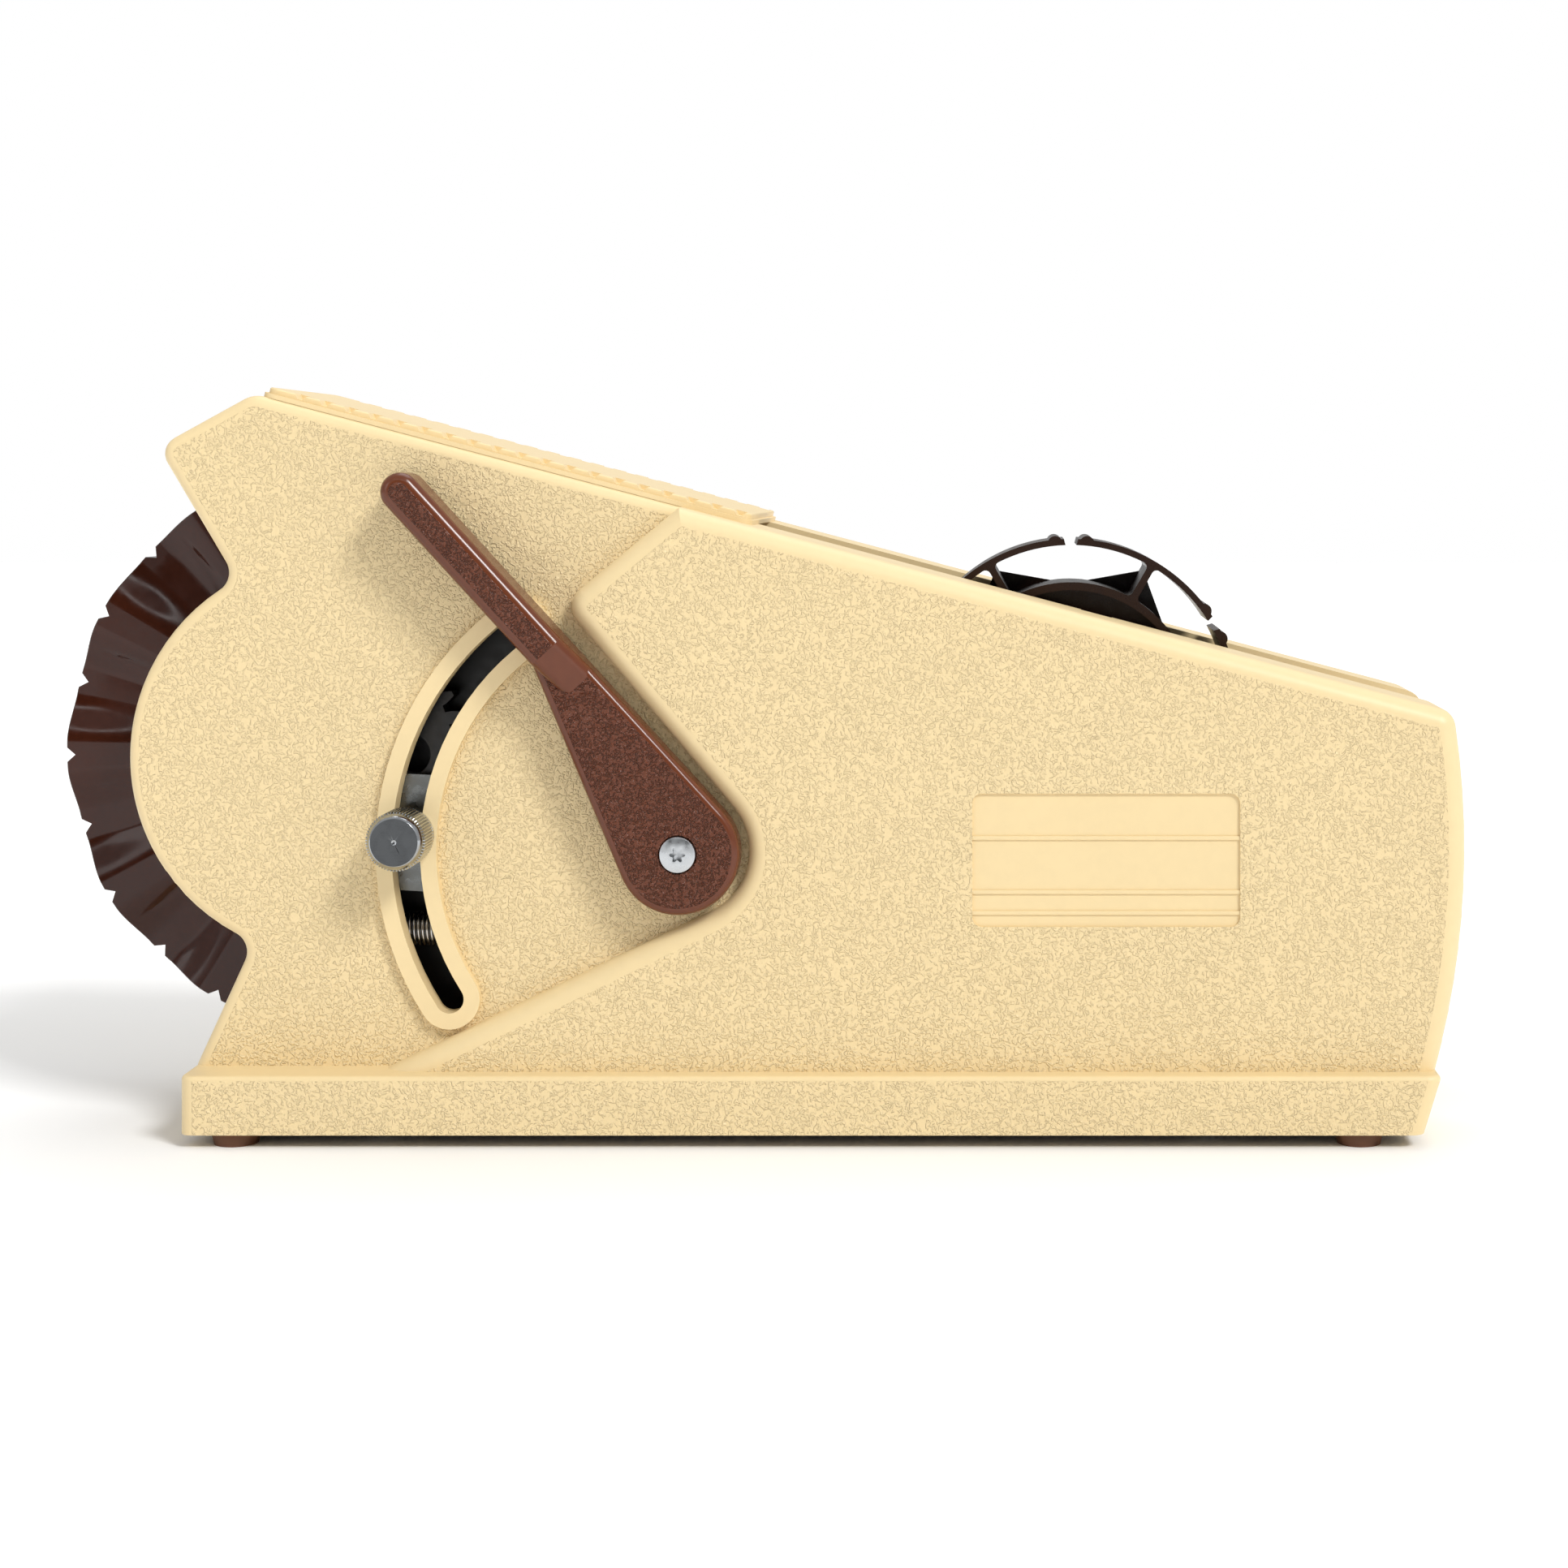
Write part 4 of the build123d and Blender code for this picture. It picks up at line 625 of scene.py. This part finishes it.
@dataclass
class ThumbNut:
    """The knurled nut that locks the length stop.

    Attributes:
        centre: Its axis in the side view.
        back: Distance of its back face in front of the mid plane.
        length: Its length.
        radius: Its radius over the knurl.
        bore: Radius of its bore.
        knurls: Ridges round it.
        knurl_depth: Depth of the grooves between them.
        knurl_steps: Steps of the turned section to a ridge.
        bore_depth: Depth of its bore.
    """

    centre: tuple[float, float] = (-74.312, 66.145)
    back: float = 35.95
    length: float = 11.0
    radius: float = 6.4
    bore: float = 2.55
    knurls: int = 60
    knurl_depth: float = 0.34
    knurl_steps: int = 3
    bore_depth: float = 8.1

    def build(self) -> None:
        """Makes the nut."""
        piece = Piece("thumb_nut_knurled", "nut", "nut_nickel", ["thumb_nut"])
        front = self.back + self.length
        rim = self.radius
        bottom = self.back + self.bore_depth
        section = [
            (self.bore, bottom), (self.bore, self.back),
            (rim - 0.7, self.back), (rim - 0.4, self.back + 0.35), (rim, self.back + 0.75),
            (rim, self.back + 3.2), (rim, self.back + 5.6), (rim, front - 2.3), (rim, front - 1.5),
            (rim - 0.42, front - 1.15), (rim - 0.5, front - 0.9), (rim - 1.15, front - 0.12),
            (rim - 1.3, front), (3.2, front - 0.02),
            (0.55, front - 0.03), (0.35, front - 0.12), (0.0, front - 0.22),
        ]
        steps = self.knurls * self.knurl_steps
        verts = piece.turn(section, (self.centre[0], 0.0, self.centre[1]), steps)
        inner = [v for v in verts if abs(-v.co.y - bottom) < ON_RADIUS]
        bmesh.ops.contextual_create(piece.bm, geom=inner)
        for vert in verts:
            offset = (vert.co.x - self.centre[0], vert.co.z - self.centre[1])
            if abs(math.hypot(*offset) - rim) < ON_RADIUS:
                turned = math.degrees(math.atan2(offset[1], offset[0])) % 360.0
                if round(turned * steps / 360.0) % self.knurl_steps == 0:
                    x, z = polar(self.centre, rim - self.knurl_depth, turned)
                    vert.co = Vector((x, vert.co.y, z))
        piece.finish(sharp=24.0)


@dataclass
class SocketScrew:
    """A turned screw with a star-shaped recess, or several alike.

    Attributes:
        name: The piece's name.
        body: Body that it moves with.
        node: Frame node that it takes the place of.
        places: Centre of each head's outer face.
        axis: Direction that the heads face.
        head_radius: Radius of a head.
        head_height: Height of a head.
        shank_radius: Radius of the shank.
        shank_length: Length below the head.
        lobes: Points of the recess.
        recess_depth: Depth of the recess.
        recess_share: Mean radius of the recess, next to the head's.
        lobe_share: How far its points stand out, next to its radius.
        lip: Width of the ring round the recess that follows its points.
        lobe_steps: Steps of the turned section to a point.
        edge_share: Size of the head's edge chamfer, next to its height.
        tip: Size of the shank's end chamfer.
        slot: Material slot of the screws.
    """

    name: str
    body: str
    node: str
    places: list[Point]
    axis: Turning
    head_radius: float
    head_height: float
    shank_radius: float
    shank_length: float
    lobes: int = 6
    recess_depth: float = 2.2
    recess_share: float = 0.36
    lobe_share: float = 0.24
    lip: float = 0.14
    lobe_steps: int = 8
    edge_share: float = 0.22
    tip: float = 0.4
    slot: str = "zinc_steel"

    def build(self) -> None:
        """Makes the screws."""
        piece = Piece(self.name, self.body, self.slot, [self.node])
        recess = self.head_radius * self.recess_share
        edge = self.head_height * self.edge_share
        end = -self.head_height - self.shank_length
        section = [
            (0.0, -self.recess_depth - 0.1), (recess, -self.recess_depth),
            (recess, 0.0), (recess + self.lip, 0.0),
            (self.head_radius - edge, 0.0), (self.head_radius - edge * 0.3, -edge * 0.3),
            (self.head_radius, -edge), (self.head_radius, -self.head_height),
            (self.shank_radius, -self.head_height), (self.shank_radius, end + self.tip),
            (self.shank_radius - self.tip, end), (0.0, end),
        ]
        axis = Vector(self.axis.value)
        for place in self.places:
            for vert in piece.turn(section, place, self.lobes * self.lobe_steps, self.axis):
                offset = vert.co - Vector(place)
                flat = offset - axis * offset.dot(axis)
                if recess * 0.9 < flat.length < recess + 2 * self.lip:
                    wave = math.cos(self.lobes * math.atan2(flat.z, flat.x))
                    vert.co += flat.normalized() * recess * self.lobe_share * wave
        piece.finish(sharp=30.0)


@dataclass
class ReturnSpring:
    """The close-wound spring that pulls the lever back, with an eye at each end.

    Attributes:
        post_x: Place of the fixed eye.
        peg_x: Place of the eye on the lever's sector.
        height: Height of its axis.
        depth: Distance of its axis in front of the mid plane.
        radius: Outer radius of the coil.
        wire: Radius of the wire.
        wire_sides: Sides of the wire's section.
        eye_radius: Radius of an eye, to the middle of its wire.
        eye_reach: Distance from an eye's centre to the coil.
        eye_steps: Steps round an eye.
        hook_in: How far the wire from an eye runs in under the coil.
        hook_drop: How far its bend stands below the coil's axis.
        pitch: Distance from one turn to the next.
        turn_steps: Steps round one turn.
    """

    post_x: float = -86.0
    peg_x: float = -14.4
    height: float = 44.0
    depth: float = 23.5
    radius: float = 4.0
    wire: float = 0.45
    wire_sides: int = 8
    eye_radius: float = 2.75
    eye_reach: float = 6.0
    eye_steps: int = 28
    hook_in: float = 0.6
    hook_drop: float = 0.2
    pitch: float = 0.99
    turn_steps: int = 18

    def build(self) -> None:
        """Makes the spring, which stretches from the post to the peg."""
        piece = Piece("return_spring_coil", "housing", "bright_steel", ["return_spring"])
        first, last = self.post_x + self.eye_reach, self.peg_x - self.eye_reach
        turns = int((last - first) / self.pitch)
        steps = turns * self.turn_steps
        rise = (last - first - 2 * self.wire) / steps
        centre = Vector((first + self.wire, -self.depth, self.height))
        start = centre + Vector((0.0, 0.0, self.radius - self.wire))
        ring = self.wire_ring(piece, start, Vector((0.0, 1.0, 0.0)))
        bmesh.ops.spin(
            piece.bm, geom=ring, cent=centre, axis=(1.0, 0.0, 0.0), dvec=(rise, 0.0, 0.0),
            angle=math.tau * turns, steps=steps, use_merge=False, use_duplicate=False,
        )
        for eye, sign in ((self.post_x, 1.0), (self.peg_x, -1.0)):
            middle = Vector((eye, -self.depth, self.height))
            begin = middle + Vector((self.eye_radius * sign, 0.0, 0.0))
            ring = self.wire_ring(piece, begin, Vector((0.0, 0.0, 1.0)))
            bmesh.ops.spin(
                piece.bm, geom=ring, cent=middle, axis=(0.0, 1.0, 0.0), dvec=(0.0, 0.0, 0.0),
                angle=math.tau, steps=self.eye_steps, use_merge=True, use_duplicate=False,
            )
            ring = self.wire_ring(piece, begin, Vector((1.0, 0.0, 0.0)))
            run = (self.eye_reach - self.eye_radius + self.hook_in) * sign
            self.pull(piece, ring, Vector((run, 0.0, 0.0)))
            bend = begin + Vector((run, 0.0, -self.hook_drop))
            ring = self.wire_ring(piece, bend, Vector((0.0, 0.0, 1.0)))
            self.pull(piece, ring, Vector((0.0, 0.0, self.radius - self.wire)))
        bmesh.ops.remove_doubles(piece.bm, verts=piece.bm.verts, dist=SAME_POINT)
        open_edges = [e for e in piece.bm.edges if e.is_boundary]
        bmesh.ops.holes_fill(piece.bm, edges=open_edges, sides=0)
        made = piece.finish(sharp=60.0, moves=False)
        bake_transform(made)

    def wire_ring(self, piece: Piece, centre: Vector, along: Vector) -> WireRing:
        """A ring of the wire's section at a point, facing along a direction."""
        turned = along.to_track_quat("Z", "X").to_matrix().to_4x4()
        made = bmesh.ops.create_circle(
            piece.bm, cap_ends=False, radius=self.wire, segments=self.wire_sides,
            matrix=Matrix.Translation(centre) @ turned,
        )["verts"]
        return made + list(dict.fromkeys(e for v in made for e in v.link_edges))

    def pull(self, piece: Piece, ring: WireRing, run: Vector) -> None:
        """Extrudes a ring of wire along a run."""
        edges = [g for g in ring if isinstance(g, bmesh.types.BMEdge)]
        made = bmesh.ops.extrude_edge_only(piece.bm, edges=edges)["geom"]
        verts = [g for g in made if isinstance(g, bmesh.types.BMVert)]
        bmesh.ops.translate(piece.bm, vec=run, verts=verts)


# ---------------------------------------------------------------- studio
@dataclass(frozen=True)
class Softbox:
    """A soft light that faces a target, square unless its height is given.

    Attributes:
        name: The light's name.
        place: Its centre.
        target: The point that it faces.
        size: Its width.
        power: Its power, in watts.
        height: Its height, if that isn't its width.
    """

    name: str
    place: Point
    target: Point
    size: float
    power: float
    height: float | None = None

    def build(self) -> None:
        """Makes the light."""
        data = bpy.data.lights.new(self.name, "AREA")
        data.shape = "RECTANGLE"
        data.size = self.size
        data.size_y = self.height or self.size
        data.energy = self.power
        made = bpy.data.objects.new(self.name, data)
        made.location = self.place
        made.rotation_mode = "QUATERNION"
        towards = Vector(self.target) - Vector(self.place)
        made.rotation_quaternion = towards.to_track_quat("-Z", "Y")
        bpy.context.scene.collection.objects.link(made)


@dataclass
class Studio:
    """Floor, lights and camera, in metres.

    Attributes:
        camera_at: Place of the camera.
        sensor: Width of the camera's sensor, in mm.
        lens: Focal length, in mm.
        shift: Shift of the sensor.
        floor_half: Half of the floor's side.
        floor_colour: Linear base colour of the floor.
        floor_squeeze: Factors on the floor's coordinates that make its clear patch long.
        clear_patch: Squeezed distances from the middle where the floor starts to glow and
            where it glows fully.
        floor_painted_light: Strength of that glow, painted light that lifts the far floor to white
            and lightens the object's cast shadow there.
        sky: Brightness of the surroundings.
        dark_side: Brightness of the surroundings straight in front of the lever side.
        dark_centre: Direction of the middle of that darker part.
        dark_span: How squarely a direction looks at it where it starts and where it is full.
        sun: Strength of the wide key light.
        sun_angle: Its width in degrees.
        sun_direction: The way that it shines.
        softboxes: The soft lights.
    """

    camera_at: Point = (0.0581, -0.629, 0.1439)
    sensor: float = 36.0
    lens: float = 62.66
    shift: tuple[float, float] = (-0.147, -0.195)
    floor_half: float = 4.0
    floor_colour: Colour = (0.96, 0.96, 0.955)
    floor_squeeze: Point = (0.4, 1.0, 1.0)
    clear_patch: tuple[float, float] = (0.075, 0.32)
    floor_painted_light: float = 0.22
    sky: float = 0.56
    dark_side: float = 0.10
    dark_centre: Point = (0.0, -0.985, 0.174)
    dark_span: tuple[float, float] = (0.74, 0.92)
    sun: float = 1.95
    sun_angle: float = 16.0
    sun_direction: Point = (-0.75, 0.8, -0.95)
    softboxes: tuple[Softbox, ...] = (
        Softbox("fill_light", (-1.1, -0.9, 0.5), (0.0, 0.0, 0.07), 0.5, 1.2),
        Softbox("top_light", (0.1, 0.35, 1.3), (0.0, 0.0, 0.1), 0.9, 5.0),
        Softbox("band_light", (-0.1, -0.95, 0.85), (-0.09, 0.0, 0.08), 1.0, 0.8, 0.07),
    )

    def build(self) -> None:
        """Sets up the scene around the object."""
        self.camera()
        self.floor()
        self.world()
        self.key()
        for softbox in self.softboxes:
            softbox.build()

    def camera(self) -> None:
        """Makes the camera, which looks straight along +Y."""
        data = bpy.data.cameras.new("camera")
        data.sensor_width = self.sensor
        data.lens = self.lens
        data.shift_x, data.shift_y = self.shift
        data.clip_start, data.clip_end = 0.01, 20.0
        made = bpy.data.objects.new("camera", data)
        made.location = self.camera_at
        made.rotation_euler = (math.pi / 2, 0.0, 0.0)
        bpy.context.scene.collection.objects.link(made)
        bpy.context.scene.camera = made

    def floor(self) -> None:
        """Makes the pale, matt floor, which glows faintly away from the object: painted light that
        whitens the far floor and the cast shadow.
        """
        bm = bmesh.new()
        bmesh.ops.create_grid(bm, x_segments=2, y_segments=2, size=self.floor_half)
        mesh = bpy.data.meshes.new("floor")
        bm.to_mesh(mesh)
        bm.free()
        made = bpy.data.objects.new("floor", mesh)
        bpy.context.scene.collection.objects.link(made)
        sheet = NodeSheet("floor_finish")
        sheet.set(Base_Color=(*self.floor_colour, 1.0), Specular_IOR_Level=0.0,
                  Emission_Color=(1.0, 1.0, 1.0, 1.0))
        rough = sheet.spread(sheet.noise(30.0, 2.0), *NOISE_SPAN, 0.28, 0.34)
        sheet.join(rough, sheet.shader.inputs["Roughness"])
        squeeze = sheet.nodes.new("ShaderNodeMapping")
        squeeze.inputs["Scale"].default_value = self.floor_squeeze
        away = sheet.nodes.new("ShaderNodeVectorMath")
        away.operation = "LENGTH"
        sheet.join(sheet.coords.outputs["Object"], squeeze.inputs["Vector"])
        sheet.join(squeeze.outputs["Vector"], away.inputs[0])
        # Painted light: the floor glows more the farther it is from the object.
        glow = sheet.spread(away.outputs["Value"], *self.clear_patch, 0.0, self.floor_painted_light)
        sheet.join(glow, sheet.shader.inputs["Emission Strength"])
        mesh.materials.append(sheet.material)

    def world(self) -> None:
        """Fills the surroundings with soft white light, darker straight in front."""
        scene = bpy.context.scene
        scene.world = bpy.data.worlds.new("soft_white")
        scene.world.use_nodes = True
        tree = scene.world.node_tree
        background = tree.nodes["Background"]
        background.inputs["Color"].default_value = (1.0, 1.0, 1.0, 1.0)
        coords = tree.nodes.new("ShaderNodeTexCoord")
        ahead = tree.nodes.new("ShaderNodeVectorMath")
        ahead.operation = "DOT_PRODUCT"
        ahead.inputs[1].default_value = self.dark_centre
        strength = tree.nodes.new("ShaderNodeMapRange")
        strength.interpolation_type = "SMOOTHSTEP"
        for name, value in zip(RANGE_SOCKETS, (*self.dark_span, self.sky, self.dark_side)):
            strength.inputs[name].default_value = value
        tree.links.new(coords.outputs["Generated"], ahead.inputs[0])
        tree.links.new(ahead.outputs["Value"], strength.inputs["Value"])
        backdrop = tree.nodes.new("ShaderNodeLightPath")
        brighter = tree.nodes.new("ShaderNodeMath")
        brighter.operation = "MAXIMUM"
        tree.links.new(strength.outputs["Result"], brighter.inputs[0])
        tree.links.new(backdrop.outputs["Is Camera Ray"], brighter.inputs[1])
        tree.links.new(brighter.outputs["Value"], background.inputs["Strength"])
        scene.view_settings.view_transform = "Standard"

    def key(self) -> None:
        """Makes the wide key light, from above on the tape side of the lever."""
        data = bpy.data.lights.new("key_light", "SUN")
        data.energy = self.sun
        data.angle = math.radians(self.sun_angle)
        made = bpy.data.objects.new("key_light", data)
        made.rotation_mode = "QUATERNION"
        made.rotation_quaternion = Vector(self.sun_direction).to_track_quat("-Z", "Y")
        bpy.context.scene.collection.objects.link(made)


def dress_frame() -> None:
    """Gives each frame node its own finish, or that of its material slot in the record."""
    slots = {part["node"]: part["material_slot"] for part in frame["record"]["subparts"]}
    for name, node in frame["nodes"].items():
        finish = NODE_FINISHES.get(name, FINISHES[slots[name]])
        node.data.materials.clear()
        node.data.materials.append(finish.material())


def main() -> None:
    """Builds every piece in order and reports each."""
    logging.basicConfig(level=logging.INFO, format="%(name)s %(message)s")
    Studio().build()
    dress_frame()
    FeedWheel().build()
    ThumbNut().build()
    ReturnSpring().build()
    SocketScrew(
        "lever_screw_star", "lever", "lever_screw", places=[(-14.4, -42.6, 62.9)],
        axis=Turning.ACROSS, head_radius=3.9, head_height=1.3, shank_radius=2.0, shank_length=13.2,
    ).build()
    SocketScrew(
        "tie_screws_star", "housing", "tie_screws",
        places=[(14.0, 38.0, 34.0), (-8.0, 38.0, 108.0), (136.0, 38.0, 30.0)],
        axis=Turning.BACK, head_radius=4.0, head_height=3.0, shank_radius=2.0, shank_length=66.0,
    ).build()


if __name__ == "__main__":
    main()
